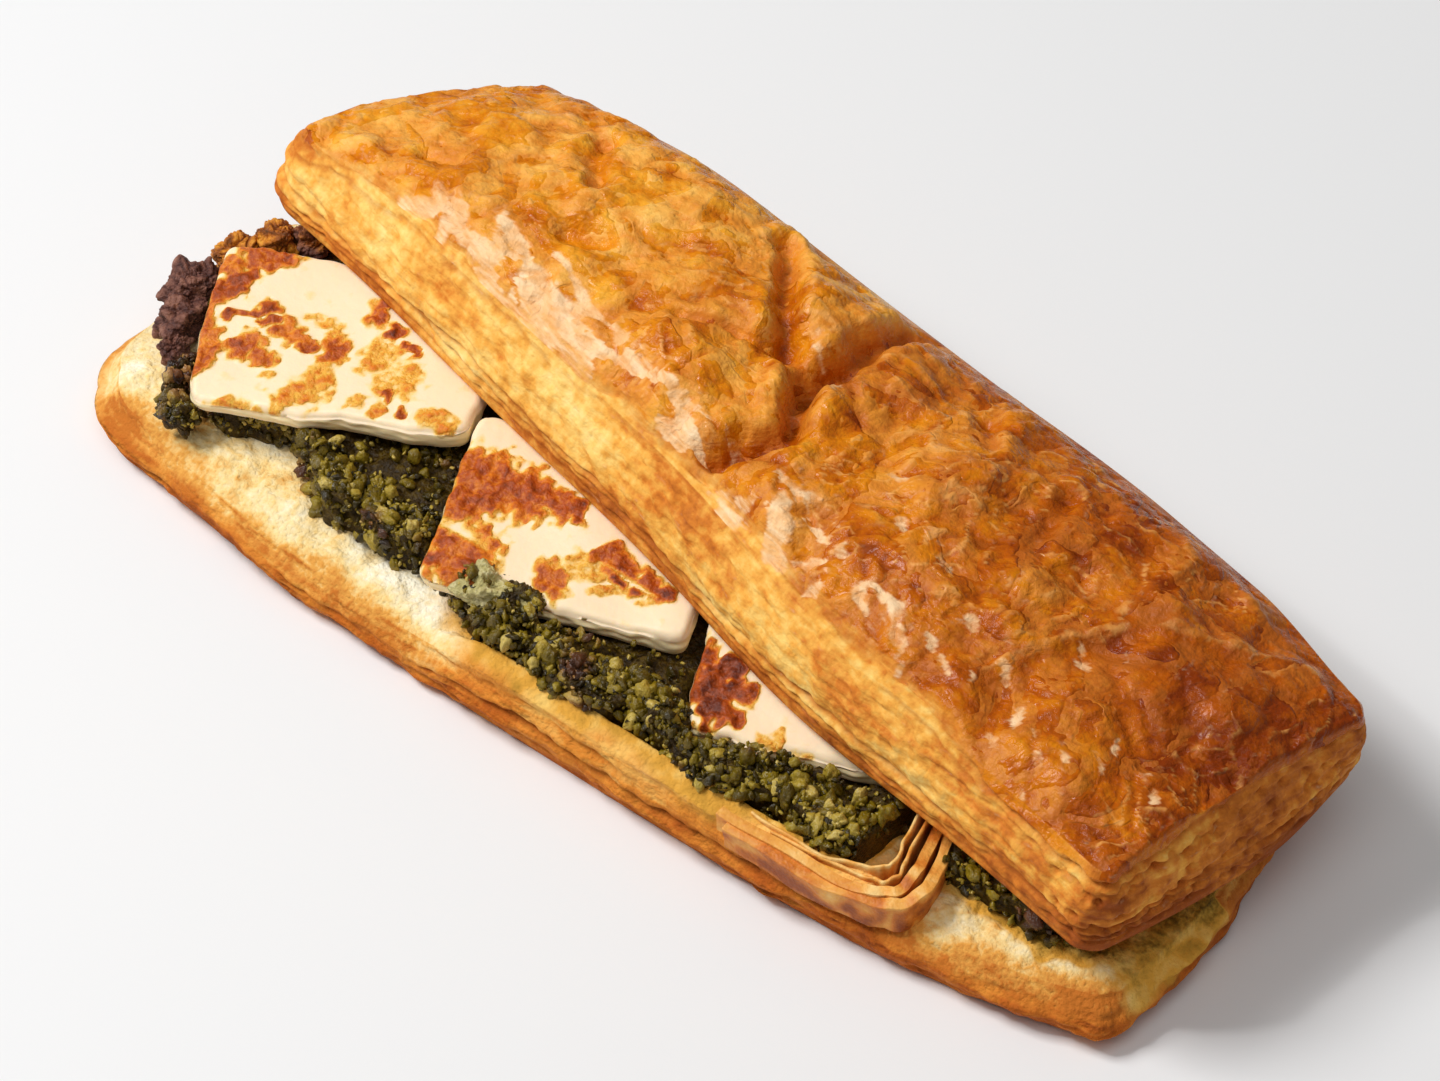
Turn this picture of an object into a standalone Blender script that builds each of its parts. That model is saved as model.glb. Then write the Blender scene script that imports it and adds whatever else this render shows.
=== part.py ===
"""Halloumi pie: a long puff pastry split through its middle, filled with green pesto and fried halloumi.

The lid is swung back over its far left corner, so the filling shows along the near side. Sizes are in
millimetres and become metres when a mesh is made. X runs along the base crust, Y to the far side, Z up,
and the origin is the middle of the flat underside. u, v and w are shares of a block's length, width and
height, from -1 to 1, -1 to 1 and 0 to 1.
"""

import math
import random

import bmesh
import bpy
from mathutils import Euler, Vector, noise

MM = 0.001
GAP = 0.35  # air between neighbouring solids
FLAT_ANGLE = 0.2  # faces that meet more flatly than this, in degrees, become one

# Base crust
BASE_HALF_LENGTH = 96.6
BASE_NEAR_HALF = 26.4  # half width at the ends, near side
BASE_NEAR_BOW = 9.8
BASE_FAR_HALF = 26.0
BASE_FAR_BOW = 3.0
BASE_CORNERS = {(-1, -1): 9.0, (1, -1): 3.0, (-1, 1): 9.0, (1, 1): 6.0}
BASE_FLOOR = 9.4  # height of the cut face that carries the filling
BASE_EDGE = 7.4  # height where the side wall meets the shoulder
BASE_SEGMENTS = (54, 14, 6)

# The upper leaf of the base crust, along the near side
LEAF_START, LEAF_END = -24.0, 61.5
LEAF_RISE = 4.2
LEAF_BAND = 5.0

# Lid crust, in its own frame
LID_PLACE = (6.6, 15.2, 18.7)
LID_TURN = (-3.4, 2.8, -10.3)  # roll, pitch and yaw in degrees
LID_HALF_LENGTH = 89.5
LID_CORNERS = {(-1, -1): 6.0, (1, -1): 3.5, (-1, 1): 7.0, (1, 1): 8.0}
LID_RIM = 14.6
LID_DOME = 5.6
LID_SEGMENTS = (68, 17, 6)

# Filling
PESTO_TOP = 15.2
PESTO_SEGMENTS = (50, 11, 2)
PESTO_BITS = 60
HALLOUMI_SEGMENTS = (10, 8, 2)

FOLD_DEPTH = 1.15  # how far the folds of dough stand in and out along a side wall


# ---------------------------------------------------------------- small helpers


def smooth(low, high, value):
    share = min(1.0, max(0.0, (value - low) / (high - low)))
    return share * share * (3.0 - 2.0 * share)


def hill(value, centre, width):
    return math.exp(-(((value - centre) / width) ** 2))


def rough(x, y, z, scale):
    """Smooth noise from about -0.5 to 0.5 whose features are scale millimetres apart."""
    return noise.noise(Vector((x, y, z)) / scale)


def distance_to_path(x, y, path):
    """(distance, share of the way along) from a point to a line through a few points."""
    best, along = 1e9, 0.0
    for index, (start, end) in enumerate(zip(path, path[1:])):
        dx, dy = end[0] - start[0], end[1] - start[1]
        share = ((x - start[0]) * dx + (y - start[1]) * dy) / (dx * dx + dy * dy)
        share = min(1.0, max(0.0, share))
        gap = math.hypot(x - start[0] - share * dx, y - start[1] - share * dy)
        if gap < best:
            best, along = gap, (index + share) / (len(path) - 1)
    return best, along


def ease_to_edges(share, power):
    """Moves the rows of a block towards its edges, where the shape turns fastest."""
    return math.copysign(1.0 - (1.0 - abs(share)) ** power, share)


def round_corner(x, y, half_x, half_y, radius):
    """Draws the square corner of a rectangle onto an arc of that radius."""
    over_x, over_y = abs(x) - (half_x - radius), abs(y) - (half_y - radius)
    if over_x <= 0.0 or over_y <= 0.0:
        return x, y
    pull = max(over_x, over_y) / math.hypot(over_x, over_y)
    return (
        math.copysign(half_x - radius + over_x * pull, x),
        math.copysign(half_y - radius + over_y * pull, y),
    )


def side_of(value):
    return -1 if value < 0 else 1


def material(name, colour, roughness):
    made = bpy.data.materials.new(name)
    made.use_nodes = True
    shader = made.node_tree.nodes["Principled BSDF"]
    shader.inputs["Base Color"].default_value = (*colour, 1.0)
    shader.inputs["Roughness"].default_value = roughness
    shader.inputs["Metallic"].default_value = 0.0
    return made


def block(name, segments, shape, finish):
    """A cube cut into segments along X, Y and Z, whose every corner goes where shape(u, v, w) says."""
    mesh = bmesh.new()
    bmesh.ops.create_cube(mesh, size=2.0)
    for axis, count in enumerate(segments):
        lengthwise = [
            edge
            for edge in mesh.edges
            if abs(edge.verts[0].co[axis] - edge.verts[1].co[axis]) > 1e-6
        ]
        bmesh.ops.subdivide_edges(mesh, edges=lengthwise, cuts=count - 1, use_grid_fill=True)
    for vertex in mesh.verts:
        u, v, w = vertex.co.x, vertex.co.y, (vertex.co.z + 1.0) / 2.0
        vertex.co = Vector(shape(u, v, w)) * MM
    bmesh.ops.dissolve_limit(
        mesh, angle_limit=math.radians(FLAT_ANGLE), verts=mesh.verts[:], edges=mesh.edges[:]
    )
    bmesh.ops.triangulate(mesh, faces=mesh.faces[:])
    bmesh.ops.recalc_face_normals(mesh, faces=mesh.faces[:])
    data = bpy.data.meshes.new(name)
    mesh.to_mesh(data)
    mesh.free()
    data.materials.append(finish)
    data.shade_smooth()
    data.set_sharp_from_angle(angle=math.radians(75.0))
    made = bpy.data.objects.new(name, data)
    bpy.context.scene.collection.objects.link(made)
    return made


def folded_side(x, y, w, rows):
    """(out, up): how far row w of a side wall stands out, and how far its fold wanders up or down."""
    ridge = 0.5 if round(w * rows) % 2 else -0.5
    inside = math.sin(math.pi * w)
    out = FOLD_DEPTH * ridge * (1.0 + rough(x, y, w * 5.0, 11.0)) + 0.9 * rough(x, y, w * 9.0, 15.0)
    return out * min(1.0, 1.6 * inside), 1.5 * rough(x, y, w * 3.0, 24.0) * inside


# ---------------------------------------------------------------- base crust


def base_near(u):
    return BASE_NEAR_HALF + BASE_NEAR_BOW * (1.0 - abs(u) ** 4) - 0.9 * hill(u, -0.75, 0.3)


def base_far(u):
    return BASE_FAR_HALF + BASE_FAR_BOW * (1.0 - u * u)


def leaf_share(x):
    """1 where the upper leaf of the base crust lies, 0 where it is missing."""
    return smooth(LEAF_START, LEAF_START + 16.0, x) * (1.0 - smooth(LEAF_END - 2.0, LEAF_END, x))


def base_top(x, y):
    """Height of the cut face: it steps up where the upper leaf lies along the near side."""
    inner = LEAF_BAND - base_near(x / BASE_HALF_LENGTH)
    return BASE_FLOOR + LEAF_RISE * leaf_share(x) * smooth(inner + 1.6, inner, y)


def base_shape(u, v, w):
    u, v = ease_to_edges(u, 1.25), ease_to_edges(v, 1.9)
    half_y = base_near(u) if v < 0.0 else base_far(u)
    wall = max(abs(u), abs(v)) > 0.9999
    lean = 3.0 * abs(2.0 * w - 0.95) ** 2.0  # how far the wall leans in from its widest line
    if v < 0.0:
        lean *= 1.0 - 0.45 * leaf_share(u * BASE_HALF_LENGTH) * smooth(0.6, 1.0, w)
    corner = BASE_CORNERS[side_of(u), side_of(v)]
    x, y = round_corner(u * BASE_HALF_LENGTH, v * half_y, BASE_HALF_LENGTH, half_y, corner)
    x += 0.9 * u * (1.0 - v * v)
    x -= 4.0 * smooth(-10.0, 22.0, y) * max(0.0, u) ** 3  # the right end is cut at a slant
    edge = BASE_EDGE + 0.9 * (base_top(x, y) - BASE_FLOOR)
    shrink_x = (BASE_HALF_LENGTH - lean) / BASE_HALF_LENGTH
    shrink_y = (half_y - lean) / half_y
    x, y = x * shrink_x, y * shrink_y
    if wall:
        out, up = folded_side(x, y, w, BASE_SEGMENTS[2])
        return x * (1.0 + out / BASE_HALF_LENGTH), y * (1.0 + out / half_y), w * edge + 0.6 * up
    if w < 0.5:
        return x, y, 0.0
    inward = min(BASE_HALF_LENGTH - abs(x), half_y - abs(y)) - lean
    shoulder = 1.0 - math.exp(-max(inward, 0.0) / 1.9)
    crumb = 0.6 * rough(x, y, 0.0, 6.0) * smooth(14.0, 7.0, inward)
    return x, y, edge + (base_top(x, y) - edge) * shoulder + crumb


def standing_leaf(name, path, width, thickness, finish):
    """A thin leaf of dough: a strip that stands on its path and leans a little outwards."""
    mesh = bmesh.new()
    rows = []
    for index, (x, y, low, high) in enumerate(path):
        before, after = path[max(index - 1, 0)], path[min(index + 1, len(path) - 1)]
        along = Vector((after[0] - before[0], after[1] - before[1], 0.0)).normalized()
        outward = Vector((along.y, -along.x, 0.0))
        foot, crest = Vector((x, y, low)), Vector((x, y, high)) + outward * width
        half = outward * thickness / 2.0
        ring = [foot - half, foot + half, crest + half, crest - half]
        rows.append([mesh.verts.new(point * MM) for point in ring])
    for first, second in zip(rows, rows[1:]):
        for side in range(4):
            other = (side + 1) % 4
            mesh.faces.new((first[side], first[other], second[other], second[side]))
    mesh.faces.new(rows[0][::-1])
    mesh.faces.new(rows[-1])
    bmesh.ops.recalc_face_normals(mesh, faces=mesh.faces[:])
    data = bpy.data.meshes.new(name)
    mesh.to_mesh(data)
    mesh.free()
    data.materials.append(finish)
    made = bpy.data.objects.new(name, data)
    bpy.context.scene.collection.objects.link(made)
    return made


def curl_path(start, reach, inward, crest):
    """A leaf's route along the near side, then round a bend to the lid: (x, y, foot, crest) steps."""
    path = []
    for step in range(8):
        share = step / 7.0
        x = start + (reach - start) * share
        y = -base_near(x / BASE_HALF_LENGTH) + inward + 0.5 * rough(x, inward, 0.0, 7.0)
        low = base_top(x, y) - 0.4 - 0.9 * max(0.0, 4.0 - inward)
        path.append((x, y, BASE_FLOOR - 0.5, low + (crest - low) * share**1.4))
    corner_y = path[-1][1]
    for step in range(1, 8):
        turn = math.radians(95.0) * min(step / 4.0, 1.0)
        run = max(0.0, step - 4.0) * 2.3
        x = reach + 2.6 * math.sin(turn) - 0.25 * run
        y = corner_y + 2.6 * (1.0 - math.cos(turn)) + run
        path.append((x, y, BASE_FLOOR - 0.5, crest + 2.2 * step / 7.0))
    return path


def make_base(finish):
    base = block("base_crust", BASE_SEGMENTS, base_shape, finish)
    leaves = [
        standing_leaf("leaf_inner", curl_path(14.0, 54.6, 5.0, 14.8), 0.4, 0.9, finish),
        standing_leaf("leaf_middle", curl_path(8.0, 57.0, 3.2, 14.4), 0.5, 0.9, finish),
        standing_leaf("leaf_outer", curl_path(0.0, 59.6, 1.6, 13.4), 0.1, 1.2, finish),
    ]
    fuse(base, leaves)
    return base


# ---------------------------------------------------------------- lid crust


def lid_frame():
    turn = Euler([math.radians(angle) for angle in LID_TURN], "XYZ")
    return turn, Vector(LID_PLACE)


def lid_underside(x, y):
    """Height of the flat underside of the lid above a point of the table."""
    turn, place = lid_frame()
    up = turn.to_matrix() @ Vector((0.0, 0.0, 1.0))
    return place.z - (up.x * (x - place.x) + up.y * (y - place.y)) / up.z


CRACK = ((-1.0, 26.0), (-1.5, 12.0), (-0.5, 1.0), (8.0, -9.5), (0.5, -18.0))
CRACK_BRANCH = ((-19.0, 13.0), (-10.0, 4.0), (-0.5, 1.0))
DENT = ((-53.0, 17.0), (-54.0, 9.0), (-48.0, 3.0))
FOLD = ((54.0, -14.0), (57.0, -1.5), (63.0, 9.0), (80.0, 25.0))


def lid_near(x):
    return 25.4 + 2.8 * hill(x, 33.0, 26.0) - 1.6 * hill(x, -74.0, 30.0)


def lid_far(x):
    grown = 1.6 * smooth(-75.0, -50.0, x) + 5.6 * smooth(-60.0, 30.0, x) + 2.0 * smooth(8.0, 45.0, x)
    return 23.8 + grown - 3.4 * smooth(62.0, 89.0, x)


def lid_rim(x, v):
    """Height of the rim where the glazed top begins."""
    near = LID_RIM - 3.2 * smooth(-60.0, -89.0, x) - 1.0 * smooth(55.0, 89.0, x)
    far = 13.6 - 5.0 * smooth(-40.0, -86.0, x)
    share = (v + 1.0) / 2.0
    return near + (far - near) * share


def lid_relief(x, y):
    """Blisters, the deep crack across the middle, a dent and the step where a leaf has lifted."""
    blisters = 2.2 * rough(x, y, 3.0, 13.0) + 1.5 * rough(x, y, 9.0, 6.5)
    crack, along = distance_to_path(x, y, CRACK)
    branch, _ = distance_to_path(x, y, CRACK_BRANCH)
    dent, _ = distance_to_path(x, y, DENT)
    fold, _ = distance_to_path(x, y, FOLD)
    cut = 5.0 * math.exp(-((crack / 3.1) ** 2)) * (1.0 - 0.45 * smooth(0.7, 1.0, along))
    cut += 3.0 * math.exp(-((branch / 2.8) ** 2)) + 2.4 * math.exp(-((dent / 3.2) ** 2))
    puff = 1.8 * hill(x, -13.0, 13.0) * hill(y, -6.0, 12.0) + 1.6 * hill(x, 24.0, 18.0)
    puff += (1.6 * smooth(25.0, 48.0, x) + 1.3 * hill(x, -45.0, 20.0)) * smooth(-5.0, 18.0, y)
    return blisters + puff - cut + 0.7 * math.exp(-((fold / 2.2) ** 2))


def lid_shape(u, v, w):
    u, v = ease_to_edges(u, 1.2), ease_to_edges(v, 1.55)
    x = u * LID_HALF_LENGTH
    if u < 0.0:
        x += (2.6 - 0.8 * v) * u**3 + 13.0 * (-u) ** 3 * max(0.0, (v + 0.35) / 1.35) ** 1.2  # the left end is cut at a slant
    half_y = lid_near(x) if v < 0.0 else lid_far(x)
    corner = LID_CORNERS[side_of(u), side_of(v)]
    _, y = round_corner(u * LID_HALF_LENGTH, v * half_y, LID_HALF_LENGTH, half_y, corner)
    pulled, _ = round_corner(u * LID_HALF_LENGTH, v * half_y, LID_HALF_LENGTH, half_y, corner)
    x += pulled - u * LID_HALF_LENGTH
    near_lean = 4.9 - 2.2 * smooth(-10.0, 60.0, x)
    side_lean = near_lean if v < 0.0 else 2.8
    end_lean = 1.4 if u < 0.0 else 0.4
    climb = w**1.8 + 0.10 * (1.0 - w) ** 2
    wall = max(abs(u), abs(v)) > 0.9999
    x -= math.copysign(end_lean * climb * abs(u) ** 3, u)
    y -= math.copysign(side_lean * climb * abs(v) ** 3, v)
    rim = lid_rim(x, v)
    if wall:
        out, up = folded_side(x, y, w, LID_SEGMENTS[2])
        out += 0.7 * math.sin(math.pi * w) * (u < 0.9999)  # the wall bulges
        return x * (1.0 + out / LID_HALF_LENGTH), y * (1.0 + out / half_y), w * rim + up
    if w < 0.5:
        return x, y, 0.0
    dome = LID_DOME * (1.0 - abs(v) ** 2.6) * (1.0 - abs(u) ** 5)
    shoulder = smooth(0.0, 5.0, min(half_y - side_lean - abs(y), 3.0 + LID_HALF_LENGTH - abs(x)))
    fade = smooth(0.0, 0.35, 1.0 - max(abs(u) ** 3, abs(v)))
    return x, y, rim + dome + 0.9 * shoulder + lid_relief(x, y) * (0.25 + 0.75 * fade) * shoulder


def make_lid(finish):
    lid = block("lid_crust", LID_SEGMENTS, lid_shape, finish)
    turn, place = lid_frame()
    lid.location = place * MM
    lid.rotation_euler = turn
    return lid


# ---------------------------------------------------------------- halloumi

# Each slice: plan corners near left, near right, far right, far left, the height of the top at each
# corner, and the thickness. Where the lid lies lower, the slice is pressed down under it.
SLICES = {
    "halloumi_left": (
        ((-77.0, -26.2), (-34.8, -8.3), (-45.0, 17.0), (-85.2, 1.5)),
        (20.4, 21.8, 24.0, 23.2),
        6.4,
    ),
    "halloumi_middle": (
        ((-24.2, -29.8), (14.2, -16.8), (-1.5, 12.0), (-35.4, -3.2)),
        (18.6, 18.8, 24.0, 22.4),
        6.2,
    ),
    "halloumi_right": (
        ((22.4, -27.6), (52.5, -15.6), (40.0, 8.0), (10.6, -6.0)),
        (16.9, 17.0, 24.0, 19.4),
        5.4,
    ),
}


def between(corners, u, v):
    """The value at share u, v of a four-cornered patch."""
    right, far = (u + 1.0) / 2.0, (v + 1.0) / 2.0
    near_left, near_right, far_right, far_left = corners
    near = near_left + (near_right - near_left) * right
    back = far_left + (far_right - far_left) * right
    return near + (back - near) * far


def slice_top(corners, heights, u, v):
    """(x, y, height) of a slice's top face. The lid holds it down where they meet."""
    x = between([corner[0] for corner in corners], u, v)
    y = between([corner[1] for corner in corners], u, v)
    lid = lid_underside(x, y) - GAP - 0.1
    free = between(heights, u, v)
    press = smooth(-1.5, 1.5, free - lid)
    return x, y, free + (lid - 0.15 - free) * press if free < lid + 1.5 else lid - 0.15


def slice_shape(name):
    corners, heights, thickness = SLICES[name]
    middle_x = sum(corner[0] for corner in corners) / 4.0
    middle_y = sum(corner[1] for corner in corners) / 4.0

    def shape(u, v, w):
        u, v = ease_to_edges(u, 1.5), ease_to_edges(v, 1.5)
        flat_u, flat_v = round_corner(u, v, 1.0, 1.0, 0.22)
        x, y, top = slice_top(corners, heights, flat_u, flat_v)
        edge = max(abs(u), abs(v)) > 0.9999
        tuck = 0.7 * (2.0 * w - 1.0) ** 2 if edge else 0.0
        reach = math.hypot(x - middle_x, y - middle_y)
        x += (middle_x - x) * tuck / reach if reach else 0.0
        y += (middle_y - y) * tuck / reach if reach else 0.0
        round_off = 0.5 if edge else 0.0
        z = top - thickness * (1.0 - w) + round_off * (1.0 - 2.0 * w)
        wobble = 0.25 * rough(x, y, 20.0 + w, 7.0) if edge else 0.0
        return x + wobble, y + wobble, z

    return shape


def slice_feet():
    """Points spread over the underside of every slice."""
    steps = [step / 10.0 for step in range(-10, 11)]
    feet = []
    for corners, heights, thickness in SLICES.values():
        for u in steps:
            for v in steps:
                x, y, top = slice_top(corners, heights, u, v)
                feet.append((x, y, top - thickness))
    return feet


FEET = slice_feet()


def slice_foot(x, y, margin):
    """Height of the lowest slice over a point of the table or within the margin round it."""
    return min((z for foot_x, foot_y, z in FEET if math.hypot(x - foot_x, y - foot_y) < margin), default=99.0)


# ---------------------------------------------------------------- pesto


def pesto_near(x):
    """Reach of the spread towards the near side. It stops short of the curled leaf at x = 56 to 62."""
    if x > 58.5:
        return 15.5 + (6.5 - 3.0 * smooth(78.0, 92.0, x)) * smooth(61.5, 64.5, x)
    edge = 22.6 + 6.6 * smooth(-65.0, 0.0, x) + 2.6 * hill(x, -76.0, 7.0) + 1.8 * rough(x, 5.0, 0.0, 9.0)
    edge = min(edge, base_near(x / BASE_HALF_LENGTH) - 8.6) - 6.0 * smooth(-80.0, -89.0, x)
    return 15.5 + (edge - 15.5) * (1.0 - smooth(51.5, 54.5, x))


def pesto_far(x):
    return 20.5 + 2.4 * rough(x, 15.0, 0.0, 12.0) - 6.0 * smooth(-70.0, -90.0, x)


def pesto_height(x, y):
    """Top of the spread, pressed down under the slices and under the lid."""
    spread = PESTO_TOP - 1.8 * smooth(58.0, 66.0, x) + 1.6 * rough(x, y, 4.0, 6.0)
    return min(spread, slice_foot(x, y, 3.3) - GAP - 0.25, lid_underside(x, y) - GAP - 0.3)


# Browned lumps that spill out at the left end: middle and radii
LUMPS = (
    ((-89.4, -9.0, 14.2), (4.2, 5.6, 4.6)),
    ((-88.0, -15.0, 12.8), (3.6, 4.4, 3.4)),
    ((-88.4, -1.8, 13.8), (3.9, 4.2, 4.2)),
    ((-87.4, 5.6, 16.6), (3.0, 4.0, 4.2)),
    ((-84.0, 10.4, 16.4), (4.4, 4.0, 4.6)),
    ((-87.6, 4.0, 12.4), (4.2, 5.6, 3.6)),
)


def lump(number, finish):
    centre, radii = LUMPS[number]
    mesh = bmesh.new()
    bmesh.ops.create_icosphere(mesh, subdivisions=2, radius=1.0)
    for vertex in mesh.verts:
        knob = 1.0 + 0.42 * rough(*(vertex.co + Vector(centre)), 0.75)
        vertex.co = Vector([mid + radius * knob * part for mid, radius, part in zip(centre, radii, vertex.co)])
        vertex.co.z = max(vertex.co.z, base_top(vertex.co.x, vertex.co.y) + GAP + 0.5)
        vertex.co *= MM
    data = bpy.data.meshes.new(f"lump_{number}")
    mesh.to_mesh(data)
    mesh.free()
    data.materials.append(finish)
    made = bpy.data.objects.new(f"lump_{number}", data)
    bpy.context.scene.collection.objects.link(made)
    return made


def pesto_shape(u, v, w):
    u, v = ease_to_edges(u, 1.1), ease_to_edges(v, 1.3)
    x = -90.6 + (u + 1.0) / 2.0 * 184.0
    half_y = pesto_near(x) if v < 0.0 else pesto_far(x)
    y = v * half_y
    x -= 1.6 * u * abs(u) ** 5 * v * v
    foot = base_top(x, y) + GAP + 0.3
    crest = max(pesto_height(x, y), foot + 0.8)
    if max(abs(u), abs(v)) > 0.9999:
        lean = 0.4 * (2.0 * w - 1.0) ** 2 + 0.5 * rough(x, y, 8.0 * w, 4.0)
        x -= math.copysign(lean * abs(u) ** 8, u)
        y -= math.copysign(lean * abs(v) ** 8, v)
        return x, y, foot + max(0.8, (crest - foot) * 0.72) * w
    return x, y, crest if w > 0.5 else foot


def pesto_bit(number, rule, finish):
    """One chopped nut or leaf: a small squashed lump, set where the spread shows."""
    for _ in range(60):
        x = rule.uniform(-74.0, 54.0)
        y = -pesto_near(x) + rule.uniform(0.9, 8.0)
        size = rule.uniform(1.1, 1.9)
        rest = max(pesto_height(x, y) - 0.1 * size, base_top(x, y - size) + 1.5 * size)
        clear = min(slice_foot(x, y, 1.5 * size + 0.6), lid_underside(x, y)) - GAP - 0.3
        if rest + size < clear:
            break
    else:
        return None
    mesh = bmesh.new()
    bmesh.ops.create_icosphere(mesh, subdivisions=1, radius=size * MM)
    turn = Euler((rule.uniform(0.0, 3.0), rule.uniform(0.0, 3.0), rule.uniform(0.0, 3.0)))
    stretch = Vector((rule.uniform(1.0, 1.5), 0.9, 0.7))
    for vertex in mesh.verts:
        vertex.co = turn.to_matrix() @ (vertex.co * stretch)
        vertex.co += Vector((x, y, rest)) * MM
    data = bpy.data.meshes.new(f"bit_{number}")
    mesh.to_mesh(data)
    mesh.free()
    data.materials.append(finish)
    made = bpy.data.objects.new(f"bit_{number}", data)
    bpy.context.scene.collection.objects.link(made)
    return made


def keep_largest(data):
    """Drops any crumb that a union left loose beside the body."""
    mesh = bmesh.new()
    mesh.from_mesh(data)
    shells, seen = [], set()
    for first in mesh.verts:
        if first in seen:
            continue
        shell, waiting = [], [first]
        seen.add(first)
        while waiting:
            vertex = waiting.pop()
            shell.append(vertex)
            for edge in vertex.link_edges:
                other = edge.other_vert(vertex)
                if other not in seen:
                    seen.add(other)
                    waiting.append(other)
        shells.append(shell)
    shells.sort(key=len)
    for shell in shells[:-1]:
        bmesh.ops.delete(mesh, geom=shell, context="VERTS")
    mesh.to_mesh(data)
    mesh.free()


def fuse(body, pieces):
    """Joins the pieces to the body by one Boolean union and removes them."""
    group = bpy.data.collections.new(body.name + "_pieces")
    bpy.context.scene.collection.children.link(group)
    for piece in pieces:
        group.objects.link(piece)
    union = body.modifiers.new("union", "BOOLEAN")
    union.operation = "UNION"
    union.operand_type = "COLLECTION"
    union.solver = "EXACT"
    union.collection = group
    bpy.context.view_layer.update()
    joined = bpy.data.meshes.new_from_object(
        body.evaluated_get(bpy.context.evaluated_depsgraph_get())
    )
    body.modifiers.clear()
    keep_largest(joined)
    body.data = joined
    for piece in pieces:
        bpy.data.objects.remove(piece)
    bpy.data.collections.remove(group)


def make_pesto(finish):
    pesto = block("pesto", PESTO_SEGMENTS, pesto_shape, finish)
    rule = random.Random(7)
    bits = [pesto_bit(number, rule, finish) for number in range(PESTO_BITS)]
    bits += [lump(number, finish) for number in range(len(LUMPS))]
    fuse(pesto, [bit for bit in bits if bit])
    return pesto


def main():
    for old in list(bpy.data.objects):
        bpy.data.objects.remove(old)
    base_finish = material("base_pastry", (0.80, 0.52, 0.22), 0.7)
    lid_finish = material("glazed_pastry", (0.66, 0.33, 0.09), 0.35)
    cheese_finish = material("halloumi", (0.90, 0.82, 0.62), 0.45)
    pesto_finish = material("pesto", (0.13, 0.14, 0.03), 0.5)
    make_base(base_finish)
    make_pesto(pesto_finish)
    for name in SLICES:
        block(name, HALLOUMI_SEGMENTS, slice_shape(name), cheese_finish)
    make_lid(lid_finish)


main()
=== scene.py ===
import math
import random

import bmesh
import bpy
import numpy as np
from mathutils import Euler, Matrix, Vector, noise


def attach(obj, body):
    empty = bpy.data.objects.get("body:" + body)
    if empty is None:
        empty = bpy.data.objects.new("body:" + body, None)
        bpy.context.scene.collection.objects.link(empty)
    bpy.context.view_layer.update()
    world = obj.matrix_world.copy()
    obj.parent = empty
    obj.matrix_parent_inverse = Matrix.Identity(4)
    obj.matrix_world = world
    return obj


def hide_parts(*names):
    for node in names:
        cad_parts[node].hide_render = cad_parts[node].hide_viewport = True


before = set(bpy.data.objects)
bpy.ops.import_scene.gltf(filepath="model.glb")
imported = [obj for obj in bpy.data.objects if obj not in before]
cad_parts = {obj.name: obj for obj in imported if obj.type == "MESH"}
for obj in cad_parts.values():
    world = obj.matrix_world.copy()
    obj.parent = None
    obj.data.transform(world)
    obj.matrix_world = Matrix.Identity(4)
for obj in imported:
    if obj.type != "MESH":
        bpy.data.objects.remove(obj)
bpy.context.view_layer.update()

# A split puff pastry pie with pesto and fried halloumi. Sizes are in mm until a mesh is made.
mm = 0.001


# small helpers for shapes


def smooth(low, high, value):
    share = min(1.0, max(0.0, (value - low) / (high - low)))
    return share * share * (3.0 - 2.0 * share)


def blend(first, second, share):
    return first + (second - first) * share


def hill(value, centre, width):
    return math.exp(-(((value - centre) / width) ** 2))


def rough(x, y, z, scale):  # soft noise from about -0.5 to 0.5, its lumps scale mm apart
    return noise.noise(Vector((x, y, z)) / scale)


def cushion(x, y, z, scale):  # 0 in the creases between cells, 1 on the cells
    near = noise.voronoi(Vector((x, y, z)) / scale)[0]
    return min(1.0, 2.4 * (near[1] - near[0]))


def pathDistance(x, y, path):  # distance to a line through a few points
    best = 1e9
    for start, end in zip(path, path[1:]):
        dx, dy = end[0] - start[0], end[1] - start[1]
        share = ((x - start[0]) * dx + (y - start[1]) * dy) / (dx * dx + dy * dy)
        share = min(1.0, max(0.0, share))
        best = min(best, math.hypot(x - start[0] - share * dx, y - start[1] - share * dy))
    return best


def easeToEdges(share, power):
    return math.copysign(1.0 - (1.0 - abs(share)) ** power, share)


def sideOf(value):
    return -1 if value < 0 else 1


def roundCorner(x, y, halfX, halfY, radius):  # the point drawn onto a round corner, and which way is out
    overX, overY = abs(x) - (halfX - radius), abs(y) - (halfY - radius)
    if overX <= 0.0 or overY <= 0.0:
        onLongSide = abs(y) * halfX >= abs(x) * halfY
        return x, y, ((0.0, sideOf(y)) if onLongSide else (sideOf(x), 0.0))
    reach = math.hypot(overX, overY)
    pull = max(overX, overY) / reach
    cornerX = math.copysign(halfX - radius + overX * pull, x)
    cornerY = math.copysign(halfY - radius + overY * pull, y)
    return cornerX, cornerY, (math.copysign(overX / reach, x), math.copysign(overY / reach, y))


def atRim(u, v):  # on the side wall of a cut block
    return max(abs(u), abs(v)) > 0.9999


def deselect():
    bpy.ops.object.select_all(action="DESELECT")


def onlyThis(piece):
    deselect()
    piece.select_set(True)
    bpy.context.view_layer.objects.active = piece


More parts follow.
